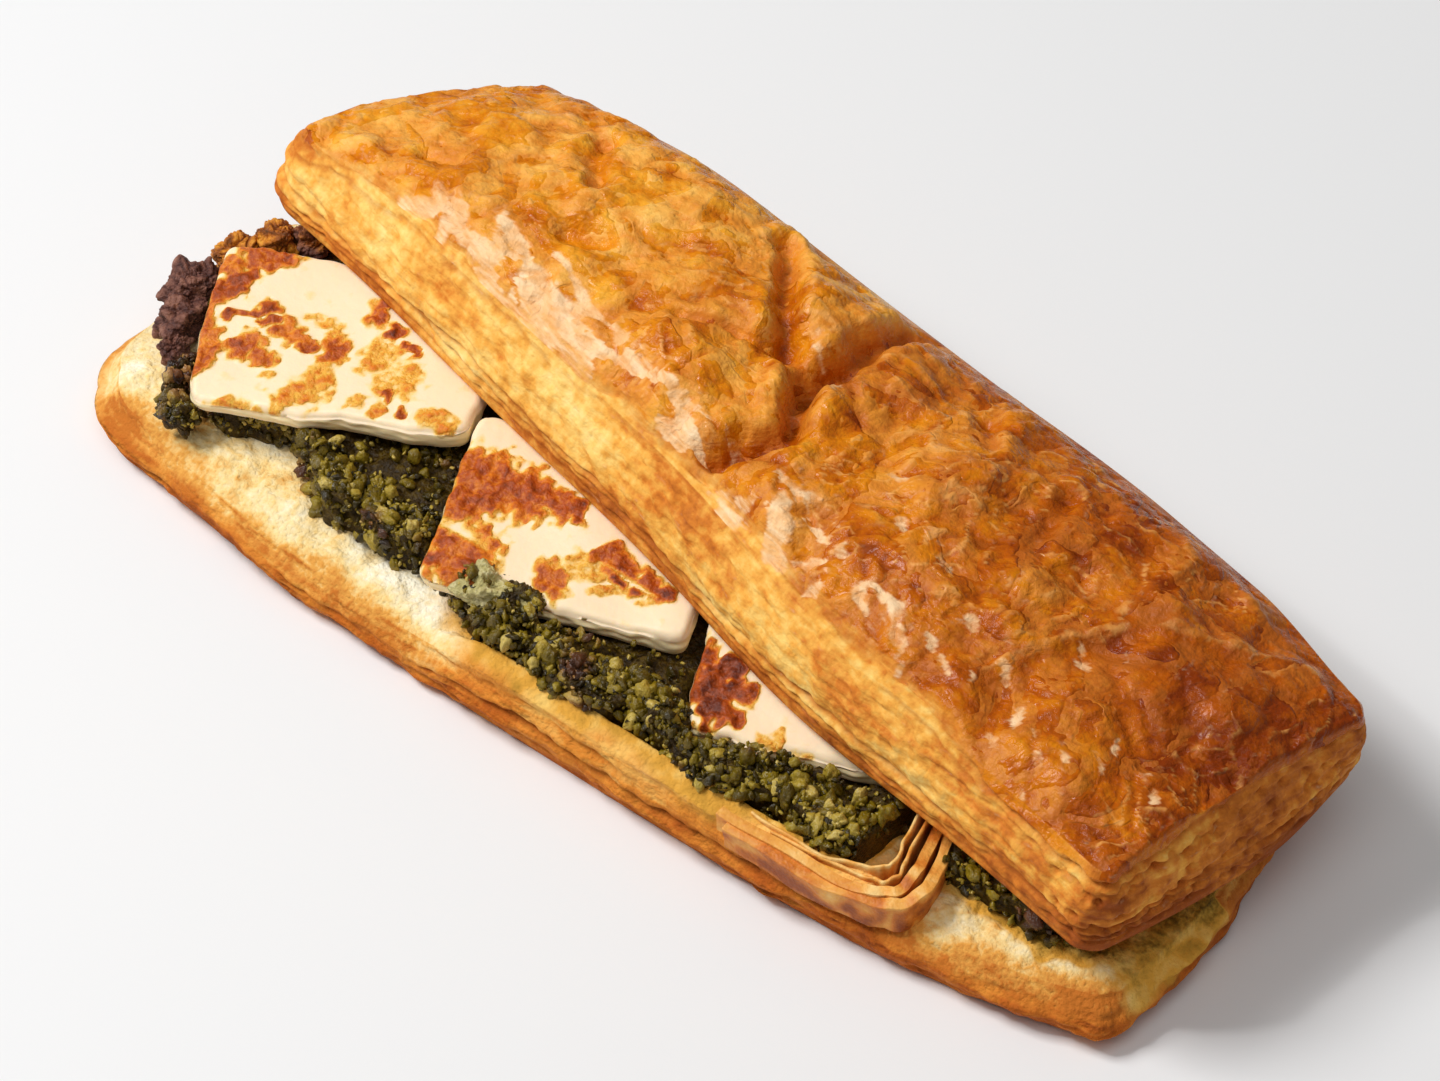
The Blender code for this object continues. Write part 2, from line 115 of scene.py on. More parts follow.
def cutBlock(name, cuts):
    # A cube cut along its length, width and height. Each count in cuts splits every edge again.
    deselect()
    bpy.ops.mesh.primitive_cube_add(size=2.0)
    piece = bpy.context.object
    piece.name = piece.data.name = name
    bpy.ops.object.mode_set(mode="EDIT")
    bpy.ops.mesh.select_mode(type="EDGE")
    for axis, counts in enumerate(cuts):
        for count in counts:
            bpy.ops.mesh.select_all(action="DESELECT")
            mesh = bmesh.from_edit_mesh(piece.data)
            for edge in mesh.edges:
                run = edge.verts[0].co - edge.verts[1].co
                if abs(run[axis]) > 0.9 * run.length:
                    edge.select_set(True)
            bmesh.update_edit_mesh(piece.data)
            bpy.ops.mesh.subdivide(number_cuts=count - 1)
    bpy.ops.object.mode_set(mode="OBJECT")
    return piece


def setMark(mesh, name, values):  # an attribute that a material reads
    mesh.attributes.new(name, "FLOAT", "POINT").data.foreach_set("value", values)


def pressInto(piece, shape, markNames):
    # Moves each point where shape(u, v, w) says. What shape marks there becomes attributes for the material.
    marks = []
    for vertex in piece.data.vertices:
        place, mark = shape(vertex.co.x, vertex.co.y, (vertex.co.z + 1.0) / 2.0)
        vertex.co = Vector(place) * mm
        marks.append(mark)
    for index, name in enumerate(markNames):
        setMark(piece.data, name, [mark[index] for mark in marks])


def flattenUnderside(piece):
    # The flat face below needs few faces.
    onlyThis(piece)
    bpy.ops.object.mode_set(mode="EDIT")
    bpy.ops.mesh.select_mode(type="FACE")
    bpy.ops.mesh.select_all(action="DESELECT")
    mesh = bmesh.from_edit_mesh(piece.data)
    mesh.normal_update()
    for face in mesh.faces:
        face.select_set(face.normal.z < -0.9999)
    bmesh.update_edit_mesh(piece.data)
    bpy.ops.mesh.dissolve_faces()
    bpy.ops.object.mode_set(mode="OBJECT")


def joinAll(parts, name):
    onlyThis(parts[0])
    for part in parts:
        part.select_set(True)
    bpy.ops.object.join()
    parts[0].name = parts[0].data.name = name
    return parts[0]


def finishPiece(piece, material, slot, *nodes):
    piece.data.materials.clear()
    piece.data.materials.append(material)
    onlyThis(piece)
    bpy.ops.object.transform_apply(location=True, rotation=True, scale=True)
    bpy.ops.object.shade_smooth()
    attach(piece, "root")
    if nodes:
        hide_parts(*nodes)
    print("made", piece.name, len(piece.data.polygons), "faces")


# small helpers for materials


def tone(red, green, blue):  # a screen colour, 0 to 255, as Blender's linear colour
    def linear(value):
        value /= 255.0
        return value / 12.92 if value <= 0.04045 else ((value + 0.055) / 1.055) ** 2.4

    return (linear(red), linear(green), linear(blue), 1.0)


def put(tree, kind, inputs, **settings):
    node = tree.nodes.new(kind)
    for name, value in settings.items():
        setattr(node, name, value)
    for name, value in inputs.items():
        if isinstance(value, bpy.types.NodeSocket):
            tree.links.new(value, node.inputs[name])
        else:
            node.inputs[name].default_value = value
    return node


def maths(tree, operation, *values):
    inputs = dict(enumerate(values))
    return put(tree, "ShaderNodeMath", inputs, operation=operation).outputs[0]


def weighted(tree, base, *terms):  # base plus each value times its weight
    total = base
    for value, weight in terms:
        total = maths(tree, "MULTIPLY_ADD", value, weight, total)
    return total


def noiseAt(tree, place, spacing, detail=4.0, distortion=0.0):  # spacing in mm; 0.5 on average
    inputs = {"Vector": place, "Scale": 1.0 / (spacing * mm), "Detail": detail, "Distortion": distortion}
    return put(tree, "ShaderNodeTexNoise", inputs).outputs["Fac"]


def stretched(tree, place, origin, turn):  # draws a pattern out along a side wall
    inputs = {"Vector": place, "Location": Vector(origin) * mm, "Rotation": turn, "Scale": (6.5, 6.5, 1.0)}
    return put(tree, "ShaderNodeMapping", inputs, vector_type="TEXTURE").outputs[0]


def ramp(tree, factor, stops):  # each stop is a place from 0 to 1, then red, green and blue
    node = put(tree, "ShaderNodeValToRGB", {"Fac": factor})
    while len(node.color_ramp.elements) < len(stops):
        node.color_ramp.elements.new(1.0)
    for element, (position, *colour) in zip(node.color_ramp.elements, stops):
        element.position = position
        element.color = tone(*colour)
    return node.outputs["Color"]


def mixColour(tree, factor, first, second):
    inputs = {0: factor, 6: first, 7: second}
    return put(tree, "ShaderNodeMix", inputs, data_type="RGBA").outputs[2]


def stepAt(tree, value, low, high):  # 0 below low, 1 above high
    inputs = {"Value": value, "From Min": low, "From Max": high}
    return put(tree, "ShaderNodeMapRange", inputs, interpolation_type="SMOOTHSTEP").outputs[0]


def markOf(tree, name):
    return put(tree, "ShaderNodeAttribute", {}, attribute_name=name).outputs["Fac"]


def bump(tree, height, depth):  # depth in mm
    return put(tree, "ShaderNodeBump", {"Height": height, "Strength": 1.0, "Distance": depth * mm}).outputs[0]


def newMaterial(name, sockets):
    material = bpy.data.materials.new(name)
    material.use_nodes = True
    tree = material.node_tree
    shader = tree.nodes["Principled BSDF"]
    for socket, value in sockets.items():
        shader.inputs[socket].default_value = value
    place = put(tree, "ShaderNodeTexCoord", {}).outputs["Object"]
    return material, tree, shader, place


def connect(tree, shader, **sources):
    for name, source in sources.items():
        tree.links.new(source, shader.inputs[name.replace("_", " ")])


# the camera comes first, at the angle and the distance of the photograph

camera = {
    "azimuth": 39.626,
    "elevation": 46.0,
    "distance": 820.0,
    "target": (3.232, 3.557, 15.0),
    "lens": 144.36,
    "sensor": 36.0,
}


def makeCamera():
    azimuth, elevation = math.radians(camera["azimuth"]), math.radians(camera["elevation"])
    level = math.cos(elevation)
    back = Vector((math.sin(azimuth) * level, -math.cos(azimuth) * level, math.sin(elevation)))
    bpy.ops.object.camera_add(location=(Vector(camera["target"]) + back * camera["distance"]) * mm)
    eye = bpy.context.object
    eye.name = "photoCamera"
    eye.rotation_mode = "QUATERNION"
    eye.rotation_quaternion = (-back).to_track_quat("-Z", "Y")
    eye.data.lens = camera["lens"]
    eye.data.sensor_width = camera["sensor"]
    eye.data.clip_start = 0.01
    bpy.context.scene.camera = eye


makeCamera()
print("camera ready")


# forms that several pieces share: the two crusts' outlines and where they leave room

base = {
    "halfLength": 96.6,
    "nearHalf": 26.4,
    "nearBow": 9.8,
    "farHalf": 26.0,
    "farBow": 3.0,
    "corners": {(-1, -1): 9.0, (1, -1): 3.0, (-1, 1): 9.0, (1, 1): 6.0},
    "floor": 9.4,  # height of the cut face
    "edge": 7.4,  # height of the side wall
    "wallLean": 3.0,
    "footLean": 2.7,
    "leafStart": -24.0,
    "leafEnd": 61.5,
    "leafRise": 4.2,
    "leafBand": 5.0,
    "cuts": ((20, 21), (11, 12), (4, 5)),
    "leafPitch": 1.35,
    "leafDepth": 0.62,
    "roundOff": 3.8,
    "stain": (84.5, 87.5),  # where the soaked leaf starts at the right end
}

lid = {
    "place": (6.6, 15.2, 18.7),
    "turn": (-3.4, 2.8, -10.3),  # degrees
    "halfLength": 89.5,
    "corners": {(-1, -1): 6.0, (1, -1): 3.5, (-1, 1): 7.0, (1, 1): 4.5},
    "farLeftCut": 13.0,  # how far the far left corner stands back
    "lean": {"near": 4.9, "nearRight": 2.7, "far": 2.8, "left": 1.4},
    "rim": 14.6,
    "dome": 5.6,
    "cuts": ((17, 20), (10, 11), (7, 8)),
    "leafPitch": 1.9,
    "leafDepth": 0.24,
    "relief": {"swell": 2.2, "lumps": 1.3},
    "skin": {"pads": 0.6, "blisters": 0.38, "folds": 0.4, "creases": 0.4, "leaves": 0.42, "fade": 1.4},
}


def baseNear(u):
    return base["nearHalf"] + base["nearBow"] * (1.0 - abs(u) ** 4) - 0.9 * hill(u, -0.75, 0.3)


def baseFar(u):
    return base["farHalf"] + base["farBow"] * (1.0 - u * u)


def leafShare(x):  # 1 where the upper leaf of the base lies
    start, end = base["leafStart"], base["leafEnd"]
    return smooth(start, start + 16.0, x) * (1.0 - smooth(end - 2.0, end, x))


def baseTop(x, y):
    inner = base["leafBand"] - baseNear(x / base["halfLength"])
    return base["floor"] + base["leafRise"] * leafShare(x) * smooth(inner + 1.6, inner, y)


def baseSkin(x, y):  # the base's top as it falls away to its rim
    u = x / base["halfLength"]
    half = baseNear(u) if y < 0.0 else baseFar(u)
    inward = min(base["halfLength"] - abs(x), half - abs(y)) - 3.0
    top = baseTop(x, y)
    edge = base["edge"] + 0.9 * (top - base["floor"])
    return edge + (top - edge) * (1.0 - math.exp(-max(inward, 0.0) / base["roundOff"]))


lidTurn = Euler([math.radians(angle) for angle in lid["turn"]], "XYZ")
lidUp = lidTurn.to_matrix() @ Vector((0.0, 0.0, 1.0))


def lidUnderside(x, y):
    place = lid["place"]
    return place[2] - (lidUp.x * (x - place[0]) + lidUp.y * (y - place[1])) / lidUp.z


def leafRows(around, height, pitch, seed):
    # Stacked leaves seen from the side: 0 in the groove between two leaves, and the leaf's number.
    drift = 2.4 * rough(around, 2.2 * height, seed, 34.0)
    drift += 0.8 * rough(around, 3.0 * height, seed + 5.0, 11.0)
    number = (height + drift) / pitch
    return abs(math.sin(math.pi * number)) ** 0.5, number


def leafEdge(around, height, pitch, depth, seed):
    # How far the leaves' edges stand out along a side wall, and how deep a groove is there.
    ridge, number = leafRows(around, height, pitch, seed)
    parted = smooth(-0.05, 0.3, rough(around, 2.6 * height, seed + 9.0, 15.0))
    own = 1.8 * depth * rough(around, 17.3 * math.floor(number), seed + 20.0, 15.0)
    out = depth * (0.25 + 0.75 * parted) * (ridge - 0.7) + own * ridge
    out += 0.5 * rough(around, height, seed + 30.0, 4.0)
    out += 0.35 * rough(around, 1.5 * height, seed + 33.0, 1.8)
    # the groove mark darkens the valleys between leaves in the materials: painted shade
    return out, (1.0 - ridge) * (0.15 + 0.85 * parted)


# base crust


def baseShape(u, v, w):
    u, v = easeToEdges(u, 1.1), easeToEdges(v, 1.25)
    halfLength = base["halfLength"]
    halfY = baseNear(u) if v < 0.0 else baseFar(u)
    wall = atRim(u, v)
    if w < 0.001 and not wall:
        lean = base["footLean"]
    else:
        lean = base["wallLean"] * abs(2.0 * w - 0.95) ** 2.0
    leafHere = leafShare(u * halfLength) if v < 0.0 else 0.0
    lean *= 1.0 - 0.45 * leafHere * smooth(0.6, 1.0, w)
    corner = base["corners"][sideOf(u), sideOf(v)]
    x, y, outward = roundCorner(u * halfLength, v * halfY, halfLength, halfY, corner)
    x += 0.9 * u * (1.0 - v * v) - 1.5 * max(0.0, -u) ** 4
    x -= 4.0 * smooth(-10.0, 22.0, y) * max(0.0, u) ** 3
    edge = base["edge"] + 0.9 * (baseTop(x, y) - base["floor"])
    x, y = x * (halfLength - lean) / halfLength, y * (halfY - lean) / halfY
    fromPesto = -y - pestoNear(x) if y < 0.0 else 20.0
    right = smooth(58.0, 64.0, x)
    oil = smooth(7.0, 0.5, fromPesto) * (0.3 + 0.7 * smooth(-34.0, -5.0, x)) * (1.0 - right)
    spill = smooth(3.5, -0.5, fromPesto + 2.0 * rough(x, y, 83.0, 4.0)) * right
    oil += (1.5 + 1.2 * rough(x, y, 85.0, 6.0)) * spill
    around = x + y
    if wall:
        z = w * edge
        inside = math.sin(math.pi * w)
        out, groove = leafEdge(around, z, base["leafPitch"], base["leafDepth"], 40.0)
        # crease and split are grooves in the wall; through the line mark they get painted shade, partly
        # browner edges
        crease = hill(z, 6.0 + 1.2 * rough(around, 0.0, 3.0, 22.0), 0.45) * leafHere
        split = hill(z, 2.6 + 1.6 * rough(around, 4.0, 3.0, 30.0), 0.4)
        split *= smooth(-0.1, 0.15, rough(around, 8.0, 3.0, 18.0))
        out = (out - 0.9 - 1.2 * crease - 0.6 * split) * min(1.0, 2.2 * inside)
        z += 1.2 * rough(around, 3.0 * z, 44.0, 22.0) * inside
        browned = blend(0.78, 0.34 + 0.1 * right, smooth(0.25, 1.0, w)) + 0.3 * rough(x, y, 15.0, 9.0) * w
        browned += 0.25 * rough(around, 2.0 * z, 47.0, 12.0) * (1.0 - w) - 0.12 * hill(x, 5.0, 45.0)
        browned -= 0.5 * smooth(-86.0, -95.0, x) * (1.0 - 0.6 * w)
        crumb = smooth(0.35, 1.0, w) * (1.0 - 0.8 * leafHere)
        oil *= blend(0.1, 1.0, smooth(0.3, 1.0, w))
        place = (x + outward[0] * out, y + outward[1] * out, z)
        return place, (crumb, groove, max(crease, 0.7 * split), oil, browned)
    if w < 0.5:
        return (x, y, 0.0), (0.0, 0.0, 0.0, 0.0, 0.9)
    inward = min(halfLength - abs(x), halfY - abs(y)) - lean
    shoulder = 1.0 - math.exp(-max(inward, 0.0) / base["roundOff"])
    inner = smooth(0.0, 5.0, inward)
    warpX, warpY = x + 2.4 * rough(x, y, 3.0, 6.0), y + 1.8 * rough(x, y, 6.0, 4.0)
    pores = cushion(warpX, 1.3 * warpY, 0.0, 2.8)
    fine = cushion(warpX, warpY, 8.0, 1.3)
    torn = 0.3 * (pores**0.5 - 0.7) + 0.28 * (fine**0.5 - 0.7)
    torn += 1.1 * rough(x, y, 0.0, 7.0) + 0.7 * rough(x, y, 11.0, 2.2)
    crumb = 1.0 - 0.8 * leafHere * smooth(-20.0, -28.0, y + 3.0 * rough(x, y, 19.0, 12.0))
    z = edge + (baseTop(x, y) - edge) * shoulder + torn * (0.15 + 0.85 * inner) * (0.3 + 0.55 * crumb)
    stained = smooth(*base["stain"], x) * smooth(-22.0, -18.0, y) * (1.0 - smooth(6.0, 11.0, y))
    z += 0.7 * stained
    oil = max(oil, stained * (0.7 + 2.0 * max(0.0, rough(x, y, 87.0, 5.0))))
    browned = 0.3 * smooth(4.5, 0.0, inward) ** 1.5 + 0.3 * rough(x, y, 15.0, 9.0) - 0.02
    browned += 0.1 * right * smooth(7.0, 0.0, inward) - 0.2 * smooth(-84.0, -93.0, x)
    # the second mark darkens the crumb's pores: painted shade
    return (x, y, z), (crumb, 0.5 * (1.0 - pores) * inner * crumb, 0.0, oil, browned)


# filling: the pesto's outline and the slices' places

slices = {  # plan corners from near left round to far left, the height of the top at each, and the thickness
    "halloumi_left": (
        ((-73.0, -26.2), (-34.8, -8.3), (-45.0, 17.0), (-88.0, -0.5)),
        (18.0, 21.8, 24.0, 22.4),
        (3.0, 4.4, 4.6, 4.6),
    ),
    "halloumi_middle": (
        ((-24.2, -29.8), (14.2, -16.8), (-1.5, 12.0), (-35.4, -3.2)),
        (17.0, 18.2, 24.0, 22.4),
        (3.2, 4.4, 4.6, 4.6),
    ),
    "halloumi_right": (
        ((22.4, -27.6), (52.5, -15.6), (40.0, 8.0), (10.6, -6.0)),
        (16.3, 16.7, 24.0, 19.4),
        (4.0, 4.4, 4.6, 4.6),
    ),
}


def between(corners, u, v):
    right, far = (u + 1.0) / 2.0, (v + 1.0) / 2.0
    nearLeft, nearRight, farRight, farLeft = corners
    near = nearLeft + (nearRight - nearLeft) * right
    back = farLeft + (farRight - farLeft) * right
    return near + (back - near) * far


def sliceTop(corners, heights, u, v):  # the lid presses the slice down where they meet
    x = between([corner[0] for corner in corners], u, v)
    y = between([corner[1] for corner in corners], u, v)
    under = lidUnderside(x, y) - 0.45
    free = between(heights, u, v)
    press = smooth(-1.5, 1.5, free - under)
    return x, y, free + (under - 0.15 - free) * press if free < under + 1.5 else under - 0.15


mapX, mapY = 100.0, 42.0  # half the length and width of the map


def sliceFeet():  # a map of the lowest slice over each square millimetre of the base
    acrossX, acrossY = np.meshgrid(np.arange(-mapX, mapX + 1.0), np.arange(-mapY, mapY + 1.0), indexing="ij")
    lowest = np.full(acrossX.shape, 40.0)
    steps = [step / 12.0 for step in range(-12, 13)]
    for corners, heights, thickness in slices.values():
        for u in steps:
            for v in steps:
                x, y, top = sliceTop(corners, heights, u, v)
                close = np.hypot(acrossX - x, acrossY - y) < 1.9
                lowest[close] = np.minimum(lowest[close], top - between(thickness, u, v))
    return lowest


footMap = sliceFeet()


def sliceFoot(x, y):
    column = min(2.0 * mapX - 1.0, max(0.0, x + mapX))
    row = min(2.0 * mapY - 1.0, max(0.0, y + mapY))
    left, low = int(column), int(row)
    right, high = column - left, row - low
    near = footMap[left, low] * (1.0 - right) + footMap[left + 1, low] * right
    far = footMap[left, low + 1] * (1.0 - right) + footMap[left + 1, low + 1] * right
    return near * (1.0 - high) + far * high


def pestoNear(x):  # how far the spread reaches towards the near side
    if x > 58.5:
        return 15.5 + (6.5 - 3.0 * smooth(78.0, 92.0, x)) * smooth(61.5, 64.5, x)
    edge = 21.5 + 3.6 * smooth(-56.0, -44.0, x) + 5.2 * smooth(-26.0, -8.0, x) - 3.6 * hill(x, -60.0, 5.0)
    edge += 1.5 * hill(x, 6.0, 5.0) + 1.5 * hill(x, 28.0, 5.0)
    edge -= 1.4 * hill(x, 14.0, 4.0) + 1.2 * hill(x, 40.0, 4.0)
    edge += 1.6 * rough(x, 5.0, 0.0, 4.0) - 14.0 * smooth(-75.0, -87.0, x)
    return 15.5 + (edge - 15.5) * (1.0 - smooth(53.0, 55.5, x))


def pestoFar(x):
    return 20.5 + 2.4 * rough(x, 15.0, 0.0, 12.0) - 6.0 * smooth(-70.0, -90.0, x)


pesto = {
    "left": -87.6,
    "length": 180.0,
    "top": 15.2,
    "lumps": 0.9,
    "grains": 0.45,
    "cuts": ((18, 20), (8, 10), (3, 3)),
    "nuts": (170, 0.7, 1.3),  # how many, then the smallest and the largest size
    "herbs": (1400, 0.35, 0.9),
    "grit": (2100, 0.2, 0.42),
    "seed": 7,
}


def pestoHeight(x, y):
    spread = pesto["top"] - 1.8 * smooth(58.0, 66.0, x) + 1.6 * rough(x, y, 4.0, 6.0)
    return min(spread, sliceFoot(x, y) - 0.4, lidUnderside(x, y) - 0.65)


def pestoShape(u, v, w):
    u, v = easeToEdges(u, 1.1), easeToEdges(v, 1.2)
    x = pesto["left"] + (u + 1.0) / 2.0 * pesto["length"]
    halfY = pestoNear(x) if v < 0.0 else pestoFar(x)
    halfY += 0.9 * rough(x, 40.0, 0.0, 3.0)
    y = v * halfY
    x -= 1.6 * u * abs(u) ** 5 * v * v + 6.0 * max(0.0, u) ** 12 * (1.0 - smooth(-4.0, 6.0, y))
    foot = baseSkin(x, y) - 0.7
    crest = max(pestoHeight(x, y), foot + 1.3)
    lumps = cushion(x, y, 2.0, 3.0)
    grains = cushion(x, y, 7.0, 1.5)
    if atRim(u, v):
        lean = 0.6 * (2.0 * w - 1.0) ** 2 + 0.9 * rough(x, y, 8.0 * w, 3.0)
        x -= math.copysign(lean * abs(u) ** 8, u)
        y -= math.copysign(lean * abs(v) ** 8, v)
        return (x, y, foot + max(1.2, (crest - foot) * 0.7) * w), ()
    if w < 0.5:
        return (x, y, foot), ()
    z = crest + pesto["lumps"] * (lumps**0.5 - 0.8) + pesto["grains"] * (grains**0.5 - 0.7)
    return (x, y, max(z, foot + 0.6)), ()


# lid crust

cracks = (  # path, depth, width
    (((-1.0, 29.0), (-1.2, 14.0), (0.0, 6.0), (-0.7, 1.3), (6.0, -7.5), (1.0, -18.0)), 4.4, 2.6),
    (((-24.0, 18.0), (-15.0, 9.7), (-9.0, 4.4), (-0.7, 1.3)), 2.8, 2.4),
    (((-20.0, -5.5), (-15.3, -1.4), (-9.5, 0.6), (-0.7, 1.3)), 1.5, 1.3),
    (((-57.3, 11.0), (-55.0, 7.0), (-49.1, 3.6)), 2.0, 2.2),
    (((-72.0, -10.0), (-67.0, -8.4)), 1.2, 2.2),
    (((-44.0, -6.5), (-39.5, -4.0)), 1.6, 2.0),
    (((20.0, 17.5), (24.5, 13.5)), 1.4, 2.2),
    (((43.0, 5.0), (38.0, 17.0)), 1.1, 1.7),
)
puffs = (  # centre, reach, height
    ((-46.5, -2.0), (3.0, 3.0), 1.6),
    ((-13.0, -7.0), (13.0, 11.0), 1.8),
    ((24.0, 0.0), (18.0, 60.0), 1.6),
    ((-12.0, 14.0), (9.0, 6.0), 1.2),
)
foldLine = ((54.0, -14.0), (57.0, -1.5), (63.0, 9.0), (71.0, 16.5), (80.0, 25.0))
flakeAndGlintPatches = (  # start, end and half width; rows left of x -20 are flakes that came off, the rest are painted highlights, glints drawn as pale streaks
    (-67.0, -18.6, -59.0, -15.4, 1.1), (-58.5, -17.0, -47.5, -17.6, 1.4),
    (-53.0, -12.0, -43.5, -13.6, 0.9), (-41.5, -15.0, -28.0, -17.0, 2.0),
    (-41.0, -10.8, -31.0, -12.8, 0.8), (-30.0, -12.6, -23.0, -13.8, 0.8), (35.4, -5.8, 44.7, -11.0, 0.4),
    (47.1, -10.4, 50.4, -12.2, 0.3), (28.9, -7.1, 32.0, -9.0, 0.4), (41.8, -18.4, 46.5, -21.8, 0.6),
    (26.4, -16.0, 27.3, -16.8, 0.6), (26.9, -23.7, 29.2, -20.2, 0.5), (15.3, -17.8, 21.6, -22.0, 1.5),
    (7.6, -20.9, 12.8, -21.2, 1.3), (20.5, -2.4, 23.3, -2.1, 0.4), (49.2, -17.2, 51.8, -18.4, 0.3),
    (33.6, -18.3, 36.8, -19.6, 1.1), (52.3, -15.2, 54.6, -16.9, 0.3), (58.0, -19.1, 56.9, -15.0, 0.4),
    (61.8, -20.0, 63.7, -21.5, 0.4), (63.7, -17.4, 61.4, -13.5, 0.3), (65.8, -15.7, 68.1, -17.4, 0.4),
    (69.2, -18.0, 72.4, -20.6, 0.3), (71.8, -16.0, 73.6, -17.7, 0.3), (70.8, -21.6, 71.8, -22.3, 0.3),
    (58.9, -0.8, 62.7, -3.4, 0.3), (73.8, -7.7, 75.2, -9.0, 0.3), (55.1, -11.4, 56.9, -12.6, 0.3),
    (44.4, -16.0, 46.9, -17.3, 0.3), (74.2, -12.1, 76.6, -13.4, 0.4), (79.9, -7.3, 83.3, -8.7, 0.5),
    (-6.5, 7.6, 0.6, 4.2, 0.6), (1.5, 3.6, 4.5, 1.5, 0.7),
)


def foldGap(x, y):  # distance to the ragged fold line near the right end
    return pathDistance(x, y, foldLine) + 1.2 * rough(x, y, 29.0, 3.2)


def behindFold(x, y):  # 1 on the smooth facet at the right end, past the raised fold line
    return smooth(-1.0, 1.5, 0.92 * (x - 57.0) - 0.39 * (y + 1.5) - 2.0 * rough(x, y, 39.0, 9.0))


def lidNear(x):
    return 25.4 + 2.8 * hill(x, 33.0, 26.0) - 1.6 * hill(x, -74.0, 30.0)


def lidFar(x):
    grown = 1.6 * smooth(-75.0, -50.0, x) + 5.6 * smooth(-60.0, 30.0, x) + 2.0 * smooth(8.0, 45.0, x)
    grown += 1.2 * hill(x, -40.0, 26.0)
    return 23.8 + grown - 3.4 * smooth(62.0, 89.0, x)


def rimHeight(x, v):
    near = lid["rim"] - 3.2 * smooth(-60.0, -89.0, x) - 1.0 * smooth(55.0, 89.0, x)
    far = 13.6 - 5.0 * smooth(-40.0, -86.0, x)
    return blend(near, far, (v + 1.0) / 2.0)


def skinEnd(x, y):  # how far past the rim the glazed skin ends, measured up the side and inwards
    near = 1.2 + 1.3 * smooth(-30.0, 20.0, x) - 4.2 * smooth(52.0, 68.0, x)
    near = blend(near, -0.6, smooth(-78.0, -88.0, x))
    edge = blend(near, -3.0, smooth(-8.0, 14.0, y))
    edge = blend(edge, -0.8 - 1.2 * smooth(-18.0, -25.0, y), smooth(84.0, 88.0, x))
    return edge + 0.9 * rough(x, y, 70.0, 9.0) + 0.7 * rough(x, 2.0 * y, 74.0, 3.0)


def skinRelief(x, y):
    # Wrinkles and torn leaves of the glazed skin: (height, hollow mark, pale edge mark)
    skin = lid["skin"]
    warpX = x + 2.6 * rough(x, y, 31.0, 9.0) + 1.0 * rough(x, y, 33.0, 2.6)
    warpY = y + 2.2 * rough(x, y, 57.0, 8.0) + 1.0 * rough(x, y, 59.0, 2.6)
    smoother = behindFold(x, y) * smooth(88.0, 74.0, x)
    crumpled = (0.65 + 0.35 * smooth(-70.0, 0.0, x)) * (1.0 - 0.6 * smoother)
    pads = cushion(0.85 * warpX, 1.1 * warpY, 3.0, 8.5) ** 0.6
    blisters = cushion(1.1 * warpX, 0.9 * warpY, 12.0, 3.8) ** 0.7
    fold = max(0.0, 1.0 - abs(rough(warpX, 1.2 * warpY, 5.0, 6.5)) / 0.2)
    crease = max(0.0, 1.0 - abs(rough(1.2 * warpX, warpY, 17.0, 4.5)) / 0.16)
    level = rough(warpX, warpY, 70.0, 8.0) / 0.28
    torn = level - math.floor(level)
    lip = max(smooth(0.84, 0.95, torn), 1.0 - smooth(0.0, 0.16, torn))
    present = smooth(-0.12, 0.1, rough(x, y, 91.0, 13.0)) * crumpled
    wrinkles = skin["blisters"] * (blisters - 0.6) + skin["folds"] * (fold**2 - 0.25)
    wrinkles -= skin["creases"] * crease**2
    height = skin["pads"] * (pads - 0.6) + crumpled * wrinkles
    height += skin["leaves"] * present * (math.floor(level) + smooth(0.7, 1.0, torn))
    hollow = 0.4 * (1.0 - pads) + 0.15 * (1.0 - blisters) + 0.4 * crumpled * crease**2 + 0.14 * smoother
    ridge = 0.6 * hill(foldGap(x, y), 0.0, 0.8)
    return height, hollow, max(0.9 * lip * present, 0.7 * crumpled * fold**3, ridge)


def lidRelief(x, y):
    calm = 0.6 + 0.4 * smooth(-30.0, -5.0, x)  # the left half is flatter
    swell, lumpy = lid["relief"]["swell"], lid["relief"]["lumps"]
    height = calm * (swell * rough(x, y, 3.0, 13.0) + lumpy * rough(x, y, 9.0, 6.5))
    hollow = 0.0
    for path, depth, width in cracks:
        gap = pathDistance(x, y, path)
        if gap < 3.0 * width:
            ragged = gap + 1.1 * rough(x, y, 25.0, 3.5)
            cut = 1.0 - smooth(0.1 * width, 1.3 * width, ragged)
            height += 0.12 * depth * hill(ragged, 1.7 * width, 0.5 * width) - depth * cut
            hollow = max(hollow, min(1.0, 0.32 * depth) * cut)
    for (centreX, centreY), (reachX, reachY), rise in puffs:
        height += rise * hill(x, centreX, reachX) * hill(y, centreY, reachY)
    height += (1.6 * smooth(25.0, 48.0, x) + 2.3 * hill(x, -38.0, 28.0)) * smooth(-5.0, 18.0, y)
    gap = foldGap(x, y)
    height += 0.8 * hill(gap, 0.0, 1.2) - 0.8 * behindFold(x, y) * hill(gap, 0.0, 9.0)
    return height, hollow


